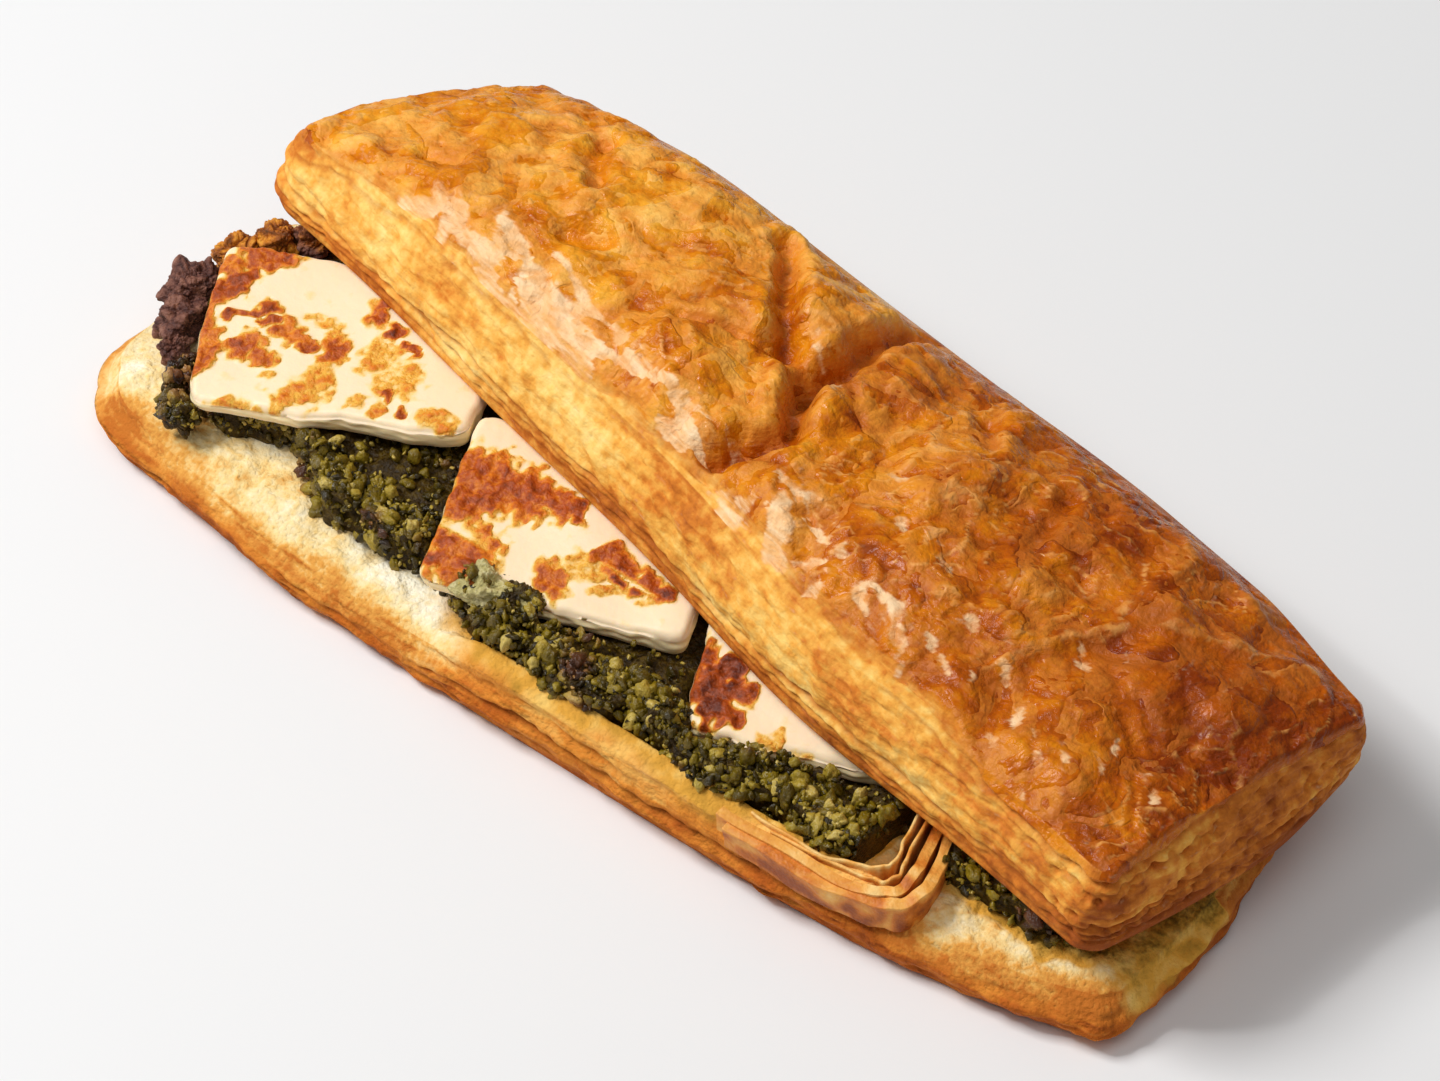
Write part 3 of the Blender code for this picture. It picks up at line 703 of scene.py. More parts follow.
def flakeAndGlintMark(x, y):  # where thin leaves have come off the shoulder and pale dough shows, and where glints are painted as pale highlights
    mark = 0.0
    for startX, startY, endX, endY, half in flakeAndGlintPatches:
        gap = pathDistance(x, y, ((startX, startY), (endX, endY)))
        if gap < 3.0 * half:
            ragged = gap + 2.0 * rough(0.6 * x, 1.4 * y, 33.0, 3.0) + 0.5 * rough(x, y, 36.0, 1.1)
            faint = 0.62 + 0.38 * smooth(0.5, 0.9, half)
            mark = max(mark, faint * smooth(half * 1.3, half * 0.3, ragged))
    band = hill(y, -17.0, 3.4) * smooth(-72.0, -60.0, x) * (1.0 - smooth(30.0, 50.0, x))
    torn = rough(0.45 * x, 1.5 * y, 63.0, 3.2) + 0.3 * rough(x, 2.0 * y, 66.0, 1.5)
    return max(mark, band * smooth(0.18, 0.26, torn))


def lidShape(u, v, w):
    u, v = easeToEdges(u, 1.1), easeToEdges(v, 1.15)
    halfLength, leans = lid["halfLength"], lid["lean"]
    x = u * halfLength
    if u < 0.0:
        x += (2.6 - 0.8 * v) * u**3 + lid["farLeftCut"] * (-u) ** 2.3 * max(0.0, (v + 0.35) / 1.35) ** 1.2
    halfY = lidNear(x) if v < 0.0 else lidFar(x)
    corner = lid["corners"][sideOf(u), sideOf(v)]
    pulled, y, outward = roundCorner(u * halfLength, v * halfY, halfLength, halfY, corner)
    x += pulled - u * halfLength
    sideLean = blend(leans["near"], leans["nearRight"], smooth(-10.0, 60.0, x)) if v < 0.0 else leans["far"]
    endLean = leans["left"] if u < 0.0 else 0.4 + 1.5 * (1.0 - v * v)
    climb = w**1.8 + 0.10 * (1.0 - w) ** 2
    x -= math.copysign(endLean * climb * abs(u) ** 3, u)
    y -= math.copysign(sideLean * climb * abs(v) ** 3, v)
    x += 2.0 * (1.0 - w) ** 1.2 * (1.0 - v * v) * max(0.0, u) ** 8
    x -= 2.6 * (1.0 - w) * smooth(0.2, 1.0, v) * max(0.0, u) ** 8
    rim = rimHeight(x, v)
    around = x + y
    skin, fade = skinEnd(x, y), lid["skin"]["fade"]
    if atRim(u, v):
        z = w * rim
        section = z - rim
        glaze = smooth(skin - fade, skin + fade, section)
        out, groove = leafEdge(around, z, lid["leafPitch"], lid["leafDepth"], 10.0)
        out *= 1.0 - 0.8 * glaze
        # lip marks crevices between the leaves; the line mark darkens them: partly painted shade, partly the
        # leaves' browner edges
        lip = hill(z, 4.6 + 1.6 * rough(around, 1.0, 1.0, 34.0), 0.4)
        lip += hill(z, 1.7 + rough(around, 5.0, 1.0, 28.0), 0.35)
        lip += 0.8 * hill(z, 3.2 + 1.4 * rough(around, 3.0, 1.0, 24.0), 0.3)
        lip += 0.6 * hill(section, skin - 2.0 + 1.2 * rough(around, 6.0, 1.0, 20.0), 0.35)
        # under: the groove below the glazed skin's edge; through the line mark it gets painted shade
        under = hill(section, skin - 0.4, 0.5)
        inside = math.sin(math.pi * w)
        out += 0.7 * inside - 0.9 * lip * (0.6 + rough(around, 9.0, 2.0, 12.0)) - 0.8 * under
        out += 0.4 * hill(section, skin + 0.6, 0.6)
        if u > 0.9:  # pitted crumb on the right end
            pits = noise.voronoi(Vector((around, 1.5 * z, 9.0)) / 2.6)[0][0]
            out -= 0.9 * smooth(0.45, 0.15, pits) * (1.0 - glaze)
        out *= min(1.0, 2.6 * inside)
        z += 1.3 * rough(around, 3.0 * z, 14.0, 24.0) * inside
        browned = 0.06 + 0.3 * smooth(5.0, 1.6, z) + 0.16 * smooth(-40.0, 10.0, x)
        browned += 0.34 * smooth(84.0, 88.0, x) * (1.0 - smooth(8.0, 26.0, y) * smooth(9.0, 4.0, z))
        browned += 0.4 * rough(around, 2.0 * z, 17.0, 14.0) + 0.2 * smooth(-84.0, -90.0, x)
        place = (x + outward[0] * out, y + outward[1] * out, z)
        return place, (glaze, groove, max(0.6 * under, lip), 0.15, 0.0, 0.0, browned)
    if w < 0.5:
        return (x, y, 0.0), (0.0, 0.0, 0.0, 0.0, 0.0, 0.0, 0.5)
    inward = min(halfY - sideLean - abs(y), halfLength + 3.0 - abs(x))
    shoulder = smooth(0.0, 5.0, inward)
    dome = lid["dome"] * (1.0 - abs(v) ** 2.6) * (1.0 - abs(u) ** 5)
    flat = smooth(0.0, 0.35, 1.0 - max(abs(u) ** 3, abs(v)))
    relief, cut = lidRelief(x, y)
    fine, crease, pale = skinRelief(x, y)
    flakeAndGlint = flakeAndGlintMark(x, y)
    glaze = smooth(skin - fade, skin + fade, inward)
    # under: a groove where the glazed skin ends; through the line mark it gets painted shade
    under = hill(inward, skin - 0.4, 0.5)
    ridge = leafRows(around, rim + 0.8 * inward, 0.9, 10.0)[0]
    z = rim + dome + 0.9 * shoulder + relief * (0.25 + 0.75 * flat) * shoulder
    z += fine * smooth(0.0, 2.5, inward) * (0.35 + 0.65 * glaze) + 0.2 * (ridge - 0.6) * (1.0 - glaze)
    z -= 0.7 * under * smooth(0.0, 1.0, inward) + 0.2 * flakeAndGlint - 0.3 * hill(inward, skin + 0.7, 0.6)
    browned = 0.42 * smooth(-30.0, 60.0, x) + 0.3 * rough(x, y, 77.0, 22.0) + 0.12 * behindFold(x, y)
    browned += (0.1 * smooth(-6.0, 8.0, y) - 0.14 * smooth(-4.0, -16.0, y)) * smooth(15.0, 45.0, x)
    browned = blend(0.15 + 0.2 * browned, browned, glaze) + 0.1 * smooth(80.0, 88.0, x)
    pale *= smooth(0.5, 3.0, inward) * (1.0 - cut)
    # groove darkens the valleys between the unglazed leaves: painted shade
    groove = (1.0 - ridge) * (1.0 - glaze)
    return (x, y, z), (glaze, groove, 0.6 * under, max(cut, crease), pale, flakeAndGlint, browned)


# fried slices

friedPatches = {  # for each depth of searing: centre on the table, then the reach across and deep
    "halloumi_left": {
        "golden": (
            (-67.8, -3.5, 1.6, 0.8), (-65.3, -3.2, 1.6, 0.8), (-62.7, -3.5, 0.6, 2.0),
            (-59.9, -10.3, 1.2, 0.9), (-66.1, -15.9, 1.4, 0.8), (-59.2, -15.7, 3.4, 2.2),
            (-58.6, -12.3, 1.6, 2.0), (-68.2, -24.0, 3.1, 1.2), (-63.2, -21.8, 1.2, 0.5),
            (-59.6, -19.1, 1.6, 0.5), (-54.6, -4.3, 2.2, 2.2), (-53.0, -2.7, 1.4, 0.6),
            (-49.2, -6.4, 3.0, 3.0), (-48.3, -4.0, 1.1, 2.2), (-40.1, -9.0, 2.2, 1.3),
            (-37.2, -8.4, 1.1, 1.0), (-47.7, -12.0, 1.1, 1.0), (-51.6, -12.6, 1.1, 1.0),
        ),
        "orange": (
            (-78.8, -15.8, 2.2, 2.5), (-76.8, -19.1, 2.2, 2.0), (-69.1, -8.2, 1.6, 2.0),
            (-66.7, -9.2, 1.3, 0.7), (-82.3, -11.2, 0.8, 2.5), (-79.7, 1.3, 2.2, 1.2),
            (-83.8, -3.8, 2.2, 1.0),
        ),
        "toasted": (
            (-75.4, -21.7, 1.4, 0.7), (-72.5, -13.8, 2.5, 1.7), (-68.4, -13.9, 1.8, 1.0),
            (-73.9, -6.2, 1.3, 1.4), (-64.4, -8.6, 1.3, 0.6), (-60.6, -7.0, 1.7, 2.3), (-59.7, 2.1, 1.3, 2.0),
            (-52.2, -0.3, 0.9, 0.5), (-80.4, -0.3, 3.6, 1.5), (-82.0, -8.0, 2.2, 1.8),
            (-83.1, -0.1, 2.2, 1.2),
        ),
        "brown": (
            (-76.5, -9.5, 1.8, 0.6), (-72.6, -8.7, 1.3, 0.6), (-55.8, 1.0, 1.2, 1.5), (-48.2, -9.2, 0.9, 1.0),
            (-50.0, 0.1, 0.7, 1.0), (-45.1, -11.0, 0.7, 0.7), (-81.0, -4.6, 2.0, 1.4),
            (-80.9, -8.0, 1.8, 0.7),
        ),
    },
    "halloumi_middle": {
        "golden": (
            (-6.6, -15.6, 2.0, 1.8), (-5.6, -20.5, 1.4, 1.4), (0.5, -15.3, 2.6, 1.0), (-3.6, -15.0, 1.4, 1.0),
            (-10.8, -19.1, 1.1, 1.2), (5.3, -14.7, 1.4, 0.8),
        ),
        "toasted": (
            (-29.8, -12.3, 3.1, 3.9), (-27.1, -17.2, 2.3, 3.2), (-25.1, -11.9, 2.8, 4.3),
            (-20.3, -10.4, 2.8, 3.6), (-15.6, -9.0, 2.3, 2.4), (-26.6, -20.0, 1.7, 1.4),
            (-21.1, -24.2, 4.3, 3.9), (-24.0, -24.4, 2.0, 3.9), (-19.9, -21.5, 2.0, 3.2),
            (-18.8, -26.9, 2.3, 1.6), (-4.0, -11.9, 2.0, 1.6), (-8.3, -19.7, 1.7, 2.4),
        ),
        "brown": (
            (-12.5, -8.6, 1.4, 1.8), (-0.9, -12.6, 2.0, 1.6), (3.2, -12.4, 2.0, 1.4), (6.4, -12.3, 1.7, 1.2),
        ),
    },
    "halloumi_right": {
        "golden": (
            (33.5, -22.6, 1.4, 1.0), (38.7, -22.1, 1.4, 0.8),
        ),
        "toasted": (
            (16.9, -17.3, 2.0, 3.2), (18.9, -20.7, 1.7, 3.6), (26.2, -18.3, 1.7, 1.6),
            (27.6, -22.6, 1.1, 1.6),
        ),
        "brown": (
            (22.2, -20.4, 2.0, 3.6), (24.3, -18.0, 1.1, 1.8), (25.6, -23.0, 1.3, 2.0),
            (26.8, -17.4, 0.9, 1.2),
        ),
        "dark": (
            (21.7, -16.4, 1.4, 1.8), (23.7, -23.5, 1.4, 2.0),
        ),
    },
}
palePatches = {  # where the white shows through between two fried areas
    "halloumi_middle": ((-30.9, -6.0, 2.2, 2.2), (-24.0, -21.0, 4.6, 1.0), (2.0, -13.6, 5.5, 0.5)),
}
cheese = {
    "cuts": ((10, 12), (8, 10), (3, 5)),
    "corner": 1.05,
    "facing": 0.69,  # the patches' own axes, turned this far from the slices'
    "heat": {"golden": 0.36, "orange": 0.6, "toasted": 0.72, "brown": 0.86, "dark": 1.0},
}


def friedAt(name, x, y):  # how deeply it is seared, 0 to 1
    warpX, warpY = x + 1.3 * rough(x, y, 5.0, 2.4), y + 1.3 * rough(x, y, 25.0, 2.4)
    turnX, turnY = math.cos(cheese["facing"]), math.sin(cheese["facing"])
    fried = 0.0
    for kind, rows in friedPatches[name].items():
        for centreX, centreY, reachX, reachY in rows:
            offX, offY = warpX - centreX, warpY - centreY
            across, deep = offX * turnX + offY * turnY, offY * turnX - offX * turnY
            gap = math.hypot(across / reachX, deep / reachY)
            if gap < 2.0:
                ragged = gap + 0.6 * rough(x, y, 9.0, 1.2)
                fried = max(fried, cheese["heat"][kind] * smooth(1.75, 0.8, ragged))
    for centreX, centreY, reachX, reachY in palePatches.get(name, ()):
        fried *= 1.0 - hill(x, centreX, reachX) * hill(y, centreY, reachY)
    return fried


def sliceShape(name):
    corners, heights, thickness = slices[name]
    middleX = sum(corner[0] for corner in corners) / 4.0
    middleY = sum(corner[1] for corner in corners) / 4.0
    halfY = math.hypot(corners[3][0] - corners[0][0], corners[3][1] - corners[0][1]) / 2.0
    halfX = math.hypot(corners[1][0] - corners[0][0], corners[1][1] - corners[0][1]) / 2.0

    def shape(u, v, w):
        u, v = easeToEdges(u, 1.25), easeToEdges(v, 1.25)
        flatU, flatV, _ = roundCorner(u, v, 1.0, 1.0, 0.16)
        x, y, top = sliceTop(corners, heights, flatU, flatV)
        thick = between(thickness, u, v)
        corner = min(cheese["corner"], 0.45 * thick)
        edge = atRim(u, v)
        fromEdge = min(halfX * (1.0 - abs(u)), halfY * (1.0 - abs(v)))
        drop = corner - math.sqrt(max(0.0, corner**2 - max(0.0, corner - fromEdge) ** 2))
        reach = math.hypot(x - middleX, y - middleY) + 1e-6
        low, high = top - thick + drop, top - drop
        z = low + (high - low) * w
        uneven = 0.9 * rough(x, y, 20.0, 8.0) + 0.35 * rough(x, y, 30.0, 2.4)
        uneven *= math.exp(-fromEdge / 2.5)
        if edge:
            uneven += (0.1 + 0.4 * rough(x, y, 3.0 * z, 3.0)) * math.sin(math.pi * w)
        x += (x - middleX) * uneven / reach
        y += (y - middleY) * uneven / reach
        fried = friedAt(name, x, y)
        if w > 0.99:
            seared = smooth(0.1, 0.5, fried)
            z += 0.5 * rough(x, y, 3.0, 9.0) - 0.25 + seared * (0.1 + 0.7 * rough(x, y, 41.0, 1.3))
        else:
            fried *= smooth(0.45, 0.9, w)
        return (x, y, z), (fried, 1.0 - smooth(0.7, 1.0, w) if edge else 0.0)

    return shape


# curled leaves of dough on the near side

curl = {
    "paths": (  # plan of each leaf's edge, the outermost last
        (
            (38.0, -31.2), (49.3, -31.8), (55.4, -30.1), (58.6, -28.9), (59.3, -27.0), (58.2, -23.6),
            (55.5, -16.0),
        ),
        ((42.0, -32.2), (56.0, -31.0), (59.8, -29.8), (60.7, -27.8), (59.7, -24.6), (57.2, -16.0)),
        ((34.0, -33.4), (54.0, -32.8), (60.4, -31.2), (62.4, -29.0), (61.8, -25.0), (59.2, -16.5)),
        ((36.0, -34.4), (52.0, -34.1), (60.4, -32.6), (63.8, -30.4), (64.3, -25.9), (61.0, -17.0)),
    ),
    "crests": ((13.2, 15.6), (12.8, 15.2), (12.2, 14.2), (11.6, 13.6)),  # height at both ends of each leaf
    "thickness": (0.45, 0.5, 1.5, 1.8),
    "flare": 0.4,
    "cuts": (150, 12),
}


def curveAt(points, share):  # a smooth curve through the points
    run = share * (len(points) - 1)
    index = min(int(run), len(points) - 2)
    share = run - index
    before, start = Vector(points[max(index - 1, 0)]), Vector(points[index])
    end, after = Vector(points[index + 1]), Vector(points[min(index + 2, len(points) - 1)])
    bend = 2.0 * before - 5.0 * start + 4.0 * end - after
    twist = 3.0 * start - before - 3.0 * end + after
    return start + 0.5 * share * (end - before + share * (bend + share * twist))


def curlPath(points, crests, share):  # a leaf's foot, the height of its crest and its outward direction
    start, end = crests
    place = curveAt(points, share)
    ahead = curveAt(points, min(1.0, share + 0.01)) - curveAt(points, max(0.0, share - 0.01))
    outward = Vector((ahead.y, -ahead.x, 0.0)).normalized()
    waver = 0.5 * rough(30.0 * share, 7.0 * start, 0.0, 5.0) * smooth(0.0, 0.2, share)
    crest = blend(start, end, smooth(0.2, 0.8, share)) + 0.8 * rough(30.0 * share, start, 3.0, 4.0)
    return Vector((place.x, place.y, base["floor"] - 2.0)) + waver * outward, crest, outward


def makeCurl(material):
    sheets = []
    along, up = curl["cuts"]
    leaves = zip(curl["paths"], curl["crests"], curl["thickness"])
    for number, (points, crests, thickness) in enumerate(leaves):
        deselect()
        bpy.ops.mesh.primitive_grid_add(size=2.0, x_subdivisions=along, y_subdivisions=up)
        sheet = bpy.context.object
        tints = []
        for vertex in sheet.data.vertices:
            share, climb = (vertex.co.x + 1.0) / 2.0, (vertex.co.y + 1.0) / 2.0
            foot, crest, outward = curlPath(points, crests, share)
            point = foot + Vector((0.0, 0.0, (crest - foot.z) * climb))
            flare = curl["flare"] * climb**2 + 0.35 * rough(60.0 * share, 6.0 * climb, 9.0 * number, 5.0)
            vertex.co = (point + outward * flare) * mm
            tint = 0.35 + 0.12 * number - 0.3 * climb**4
            tints.append(tint + 0.7 * rough(60.0 * share, 8.0 * climb, 3.0 * number, 4.0))
        setMark(sheet.data, "browned", tints)
        solid = sheet.modifiers.new("thickness", "SOLIDIFY")
        solid.thickness = thickness * mm
        solid.offset = 0.0
        bpy.ops.object.modifier_apply(modifier=solid.name)
        thin = thickness < 1.0
        rounded = sheet.modifiers.new("round", "BEVEL")
        rounded.width = min(0.12, 0.3 * thickness) * mm if thin else 0.45 * mm
        rounded.segments = 1 if thin else 3
        rounded.angle_limit = math.radians(50.0)
        bpy.ops.object.modifier_apply(modifier=rounded.name)
        sheets.append(sheet)
    finishPiece(joinAll(sheets, "curledLeaves"), material, "base_pastry")


# loose things: one form, copied many times into a joined mesh


def scatter(name, template, copies):
    # copies holds (centre, size, turn, tint) for each. The template is a small closed mesh of radius 1.
    points = np.array([vertex.co for vertex in template.data.vertices])
    faces = [tuple(face.vertices) for face in template.data.polygons]
    allPoints, allFaces, tints = [], [], []
    for centre, size, turn, tint in copies:
        start = len(allPoints) * len(points)
        turned = (points * np.array(size)) @ np.array(turn.to_matrix()).T
        allPoints.append((turned + np.array(centre)) * mm)
        allFaces += [tuple(start + corner for corner in face) for face in faces]
        tints += [tint] * len(points)
    mesh = bpy.data.meshes.new(name)
    mesh.from_pydata(np.concatenate(allPoints).tolist(), [], allFaces)
    setMark(mesh, "tint", tints)
    piece = bpy.data.objects.new(name, mesh)
    bpy.context.scene.collection.objects.link(piece)
    bpy.data.objects.remove(template)
    return piece


def pebble(subdivisions, knobbly, seed):  # a rough lump to copy
    deselect()
    bpy.ops.mesh.primitive_ico_sphere_add(subdivisions=subdivisions, radius=1.0)
    piece = bpy.context.object
    for vertex in piece.data.vertices:
        x, y, z = vertex.co
        swelling = rough(x, y, z + 9.0 * seed, 0.8) + 0.6 * rough(x, y, z + 5.0 * seed, 0.4)
        vertex.co *= 1.0 + knobbly * swelling
    return piece


def anyTurn(rule):
    return Euler((rule.uniform(0.0, 6.3), rule.uniform(0.0, 6.3), rule.uniform(0.0, 6.3)))


mounds = (  # pesto that rides over the edges of the slices: centre, reach, and 1 where it is creamy
    ((-15.5, -25.4, 15.8), (4.4, 3.2, 3.2), 0.95),
    ((-9.4, -25.0, 16.4), (3.4, 2.8, 2.0), 0.3),
    ((-78.6, -20.0, 14.0), (2.2, 3.4, 3.2), 0.0),
    ((-75.0, -25.8, 13.4), (3.6, 1.9, 2.8), 0.0),
    ((19.6, -27.0, 14.2), (3.0, 3.4, 2.6), 0.2),
    ((30.0, -28.6, 15.0), (4.0, 2.0, 1.6), 0.2),
)


def makeBits(material):
    rule = random.Random(pesto["seed"])

    def spot(size):
        for _ in range(40):
            x = rule.uniform(-79.0, 55.0) if rule.random() < 0.9 else rule.uniform(64.0, 92.0)
            inward = rule.uniform(-0.8, 6.0) if rule.random() < 0.75 else rule.uniform(6.0, 20.0)
            y = -pestoNear(x) + inward
            if x > 86.0:
                y = rule.uniform(-4.0, 17.0)
            top = pestoHeight(x, y) + 0.2 * size
            foot = baseSkin(x, y)
            if inward < 0.6 or x > 90.5:  # on the front of the heap
                top = rule.uniform(foot + 0.3, max(top, foot + 0.6))
            elif sliceFoot(x, y + 2.0) < 30.0 and sliceFoot(x, y) > 30.0:  # heaped against a slice
                top += rule.uniform(0.0, 2.2)
            if top + size < min(sliceFoot(x, y), lidUnderside(x, y)) - 0.2:
                return x, y, max(top, foot + 0.3 * size)
        return None

    def sow(name, template, bits, tints):
        count, low, high = bits
        copies = []
        for _ in range(count):
            size = rule.uniform(low, high)
            place = spot(size)
            if place:
                long, wide, flat = rule.uniform(1.1, 1.7), rule.uniform(0.8, 1.1), rule.uniform(0.6, 0.9)
                stretch = (size * long, size * wide, size * flat)
                copies.append((place, stretch, anyTurn(rule), rule.uniform(*tints)))
        for (middleX, middleY, middleZ), reach, creamy in mounds:
            for _ in range(int(count / 34 * (1.0 - 0.8 * creamy))):
                size = rule.uniform(low, high)
                way = Vector((rule.uniform(-1.0, 1.0), rule.uniform(-1.0, 1.0), rule.uniform(-0.1, 1.0)))
                way.normalize()
                place = (middleX + way.x * reach[0], middleY + way.y * reach[1], middleZ + way.z * reach[2])
                copies.append((place, (size * 1.3, size, size * 0.8), anyTurn(rule), rule.uniform(*tints)))
        finishPiece(scatter(name, template, copies), material, "pesto")

    sow("nutPieces", pebble(3, 0.35, 1), pesto["nuts"], (0.35, 1.1))
    sow("herbPieces", pebble(2, 0.9, 2), pesto["herbs"], (0.0, 0.8))
    sow("pestoGrit", pebble(2, 0.6, 3), pesto["grit"], (0.0, 1.1))


lumps = (  # centre, radii, and 0 purple-brown to 1 golden
    ((-91.6, -5.0, 12.8), (3.4, 4.8, 4.2), 0.0),
    ((-88.6, -10.6, 12.2), (3.2, 4.2, 3.6), 0.05),
    ((-86.0, -14.6, 11.4), (1.8, 2.4, 2.6), 0.1),
    ((-90.2, 3.6, 14.4), (3.0, 3.4, 3.4), 0.85),
    ((-86.6, 8.4, 15.4), (3.6, 3.2, 3.8), 0.9),
    ((-82.6, 12.4, 16.0), (3.4, 3.0, 3.4), 0.45),
    ((-87.8, 4.6, 11.6), (4.4, 6.0, 2.8), 0.5),
)


def makeLumps(name, rows, material):
    parts = []
    for centre, radii, golden in rows:
        deselect()
        bpy.ops.mesh.primitive_ico_sphere_add(subdivisions=6, radius=1.0)
        part = bpy.context.object
        tints, hollows = [], []
        for vertex in part.data.vertices:
            side = vertex.co.copy()
            x, y, z = (middle + radius * share for middle, radius, share in zip(centre, radii, side))
            warp = 1.6 * rough(x, y, z, 2.4)
            crumbs = cushion(x + warp, y + warp, z, 2.3)
            specks = cushion(x, y, z, 0.9)
            knobs = 0.35 * (crumbs**0.6 - 0.7) + 0.3 * (specks**0.6 - 0.7) + 0.6 * rough(x, y, z, 1.6)
            swollen = 1.0 + 0.5 * rough(*(side + Vector(centre)), 0.75) + knobs / min(radii)
            place = Vector(centre) + Vector(radii) * side * swollen
            place.z = max(place.z, baseTop(place.x, place.y) - 0.3)
            vertex.co = place * mm
            tints.append(golden + 0.5 * rough(x, y, z, 3.0))
            # hollow marks the creases between crumbs; lumpCrust darkens them: painted shade
            hollows.append(1.0 - crumbs)
        setMark(part.data, "tint", tints)
        setMark(part.data, "hollow", hollows)
        parts.append(part)
    finishPiece(joinAll(parts, name), material, "pesto")


# materials: each row of a ramp is its place from 0 to 1, then red, green and blue

glazedTones = {
    "amber": (
        (0.0, 252, 198, 98), (0.25, 238, 164, 46), (0.5, 219, 129, 12), (0.75, 184, 88, 4), (1.0, 132, 50, 2),
    ),
    # matt leaves' own paler colour, lightened further as a painted sheen, the pale satin reflection on the
    # skin
    "tanAndSheen": ((0.1, 250, 190, 98), (0.45, 227, 145, 56), (0.8, 188, 102, 30)),
    "crisp": (244, 176, 94),
    "wall": (
        (0.0, 255, 226, 150), (0.28, 250, 204, 112), (0.5, 238, 170, 72), (0.72, 212, 124, 40),
        (1.0, 156, 76, 20),
    ),
    # colour of the crevices: partly painted shade, partly browner leaf edges
    "line": (178, 96, 30),
    # pale dough where leaves came off, also the colour of the painted glint highlights
    "peeledAndGlint": ((0.25, 224, 148, 78), (0.42, 240, 184, 124), (0.58, 250, 210, 160), (0.75, 254, 228, 186)),
}


def glazedPastry():
    material, tree, shader, place = newMaterial("glazedPastry", {"IOR": 1.5, "Specular IOR Level": 0.17})
    tones = glazedTones
    broad, mottle = noiseAt(tree, place, 20.0, 2.0), noiseAt(tree, place, 4.5, 5.0)
    grain, flecks = noiseAt(tree, place, 0.9, 5.0), noiseAt(tree, place, 2.2, 5.0)
    browned, hollow, groove = markOf(tree, "browned"), markOf(tree, "hollow"), markOf(tree, "groove")
    # torn leaves of the skin overlap like shingles: each rises slowly and ends in a lip
    level = weighted(tree, 0.0, (noiseAt(tree, place, 9.0, 3.0, 0.6), 6.0), (grain, 0.5))
    rise = maths(tree, "FRACT", level)
    leaf = maths(tree, "SUBTRACT", level, rise)
    lip = maths(tree, "MULTIPLY", stepAt(tree, rise, 0.6, 0.9), stepAt(tree, rise, 1.0, 0.93))
    matt = stepAt(tree, maths(tree, "SINE", maths(tree, "MULTIPLY", leaf, 2.4)), -0.3, 0.6)
    bald = stepAt(tree, weighted(tree, 0.12, (mottle, 1.0), (browned, -0.3)), 0.38, 0.6)
    matt = maths(tree, "MULTIPLY", matt, bald)
    depth = weighted(tree, -0.28, (browned, 0.6), (hollow, 0.45), (broad, 0.3), (mottle, 0.8))
    depth = weighted(tree, depth, (grain, 0.3), (matt, -0.12))
    amber, tanAndSheen = ramp(tree, depth, tones["amber"]), ramp(tree, depth, tones["tanAndSheen"])
    # matt leaves take the paler colour: partly their own, partly a painted sheen
    flakesAndSheen = mixColour(tree, maths(tree, "MULTIPLY", matt, 0.65), amber, tanAndSheen)
    crisp = weighted(tree, -0.34, (markOf(tree, "pale"), 0.9), (grain, 0.6), (lip, 0.2))
    crisp = stepAt(tree, crisp, 0.2, 0.85)
    top = mixColour(tree, maths(tree, "MULTIPLY", crisp, 0.6), flakesAndSheen, tone(*tones["crisp"]))
    along = stretched(tree, place, lid["place"], lidTurn)
    streak, broadStreak = noiseAt(tree, along, 0.7, 5.0), noiseAt(tree, along, 2.6, 3.0)
    # groove darkens the valleys between leaves: painted shade
    side = weighted(tree, -0.62, (browned, 0.8), (groove, 0.12), (streak, 0.35), (broadStreak, 0.45))
    wall = ramp(tree, weighted(tree, side, (flecks, 0.85), (grain, 0.25)), tones["wall"])
    # the line colour in crevices and under the glazed edge: partly painted shade, partly browner leaf edges
    lined = maths(tree, "MULTIPLY", markOf(tree, "line"), stepAt(tree, broadStreak, 0.3, 0.55))
    wall = mixColour(tree, maths(tree, "MULTIPLY", lined, 0.85), wall, tone(*tones["line"]))
    peeledAndGlint = ramp(tree, weighted(tree, -0.1, (streak, 0.7), (mottle, 0.5)), tones["peeledAndGlint"])
    glazed = weighted(tree, -0.75, (markOf(tree, "glaze"), 1.0), (mottle, 0.9), (streak, 0.6))
    glazed = stepAt(tree, glazed, 0.1, 0.9)
    # pale dough where leaves came off, and painted highlights where glints are drawn
    torn = weighted(tree, -0.95, (markOf(tree, "flakeAndGlint"), 1.0), (grain, 0.6), (streak, 1.3))
    torn = maths(tree, "MULTIPLY", stepAt(tree, torn, 0.15, 0.85), 0.85)
    colour = mixColour(tree, torn, mixColour(tree, glazed, wall, top), peeledAndGlint)
    dull = weighted(tree, 0.6, (glazed, -0.46), (torn, 0.2), (grain, 0.14), (matt, 0.18))
    ridged = maths(tree, "PINGPONG", noiseAt(tree, place, 3.2, 3.0, 0.6), 0.5)
    shingle = maths(tree, "MULTIPLY", maths(tree, "MULTIPLY", rise, stepAt(tree, rise, 1.0, 0.7)), glazed)
    surface = weighted(tree, 0.0, (shingle, 0.35), (ridged, 0.8), (mottle, 0.55), (grain, 0.5))
    surface = weighted(tree, surface, (streak, 0.35))
    connect(tree, shader, Base_Color=colour, Roughness=dull, Normal=bump(tree, surface, 0.5))
    return material


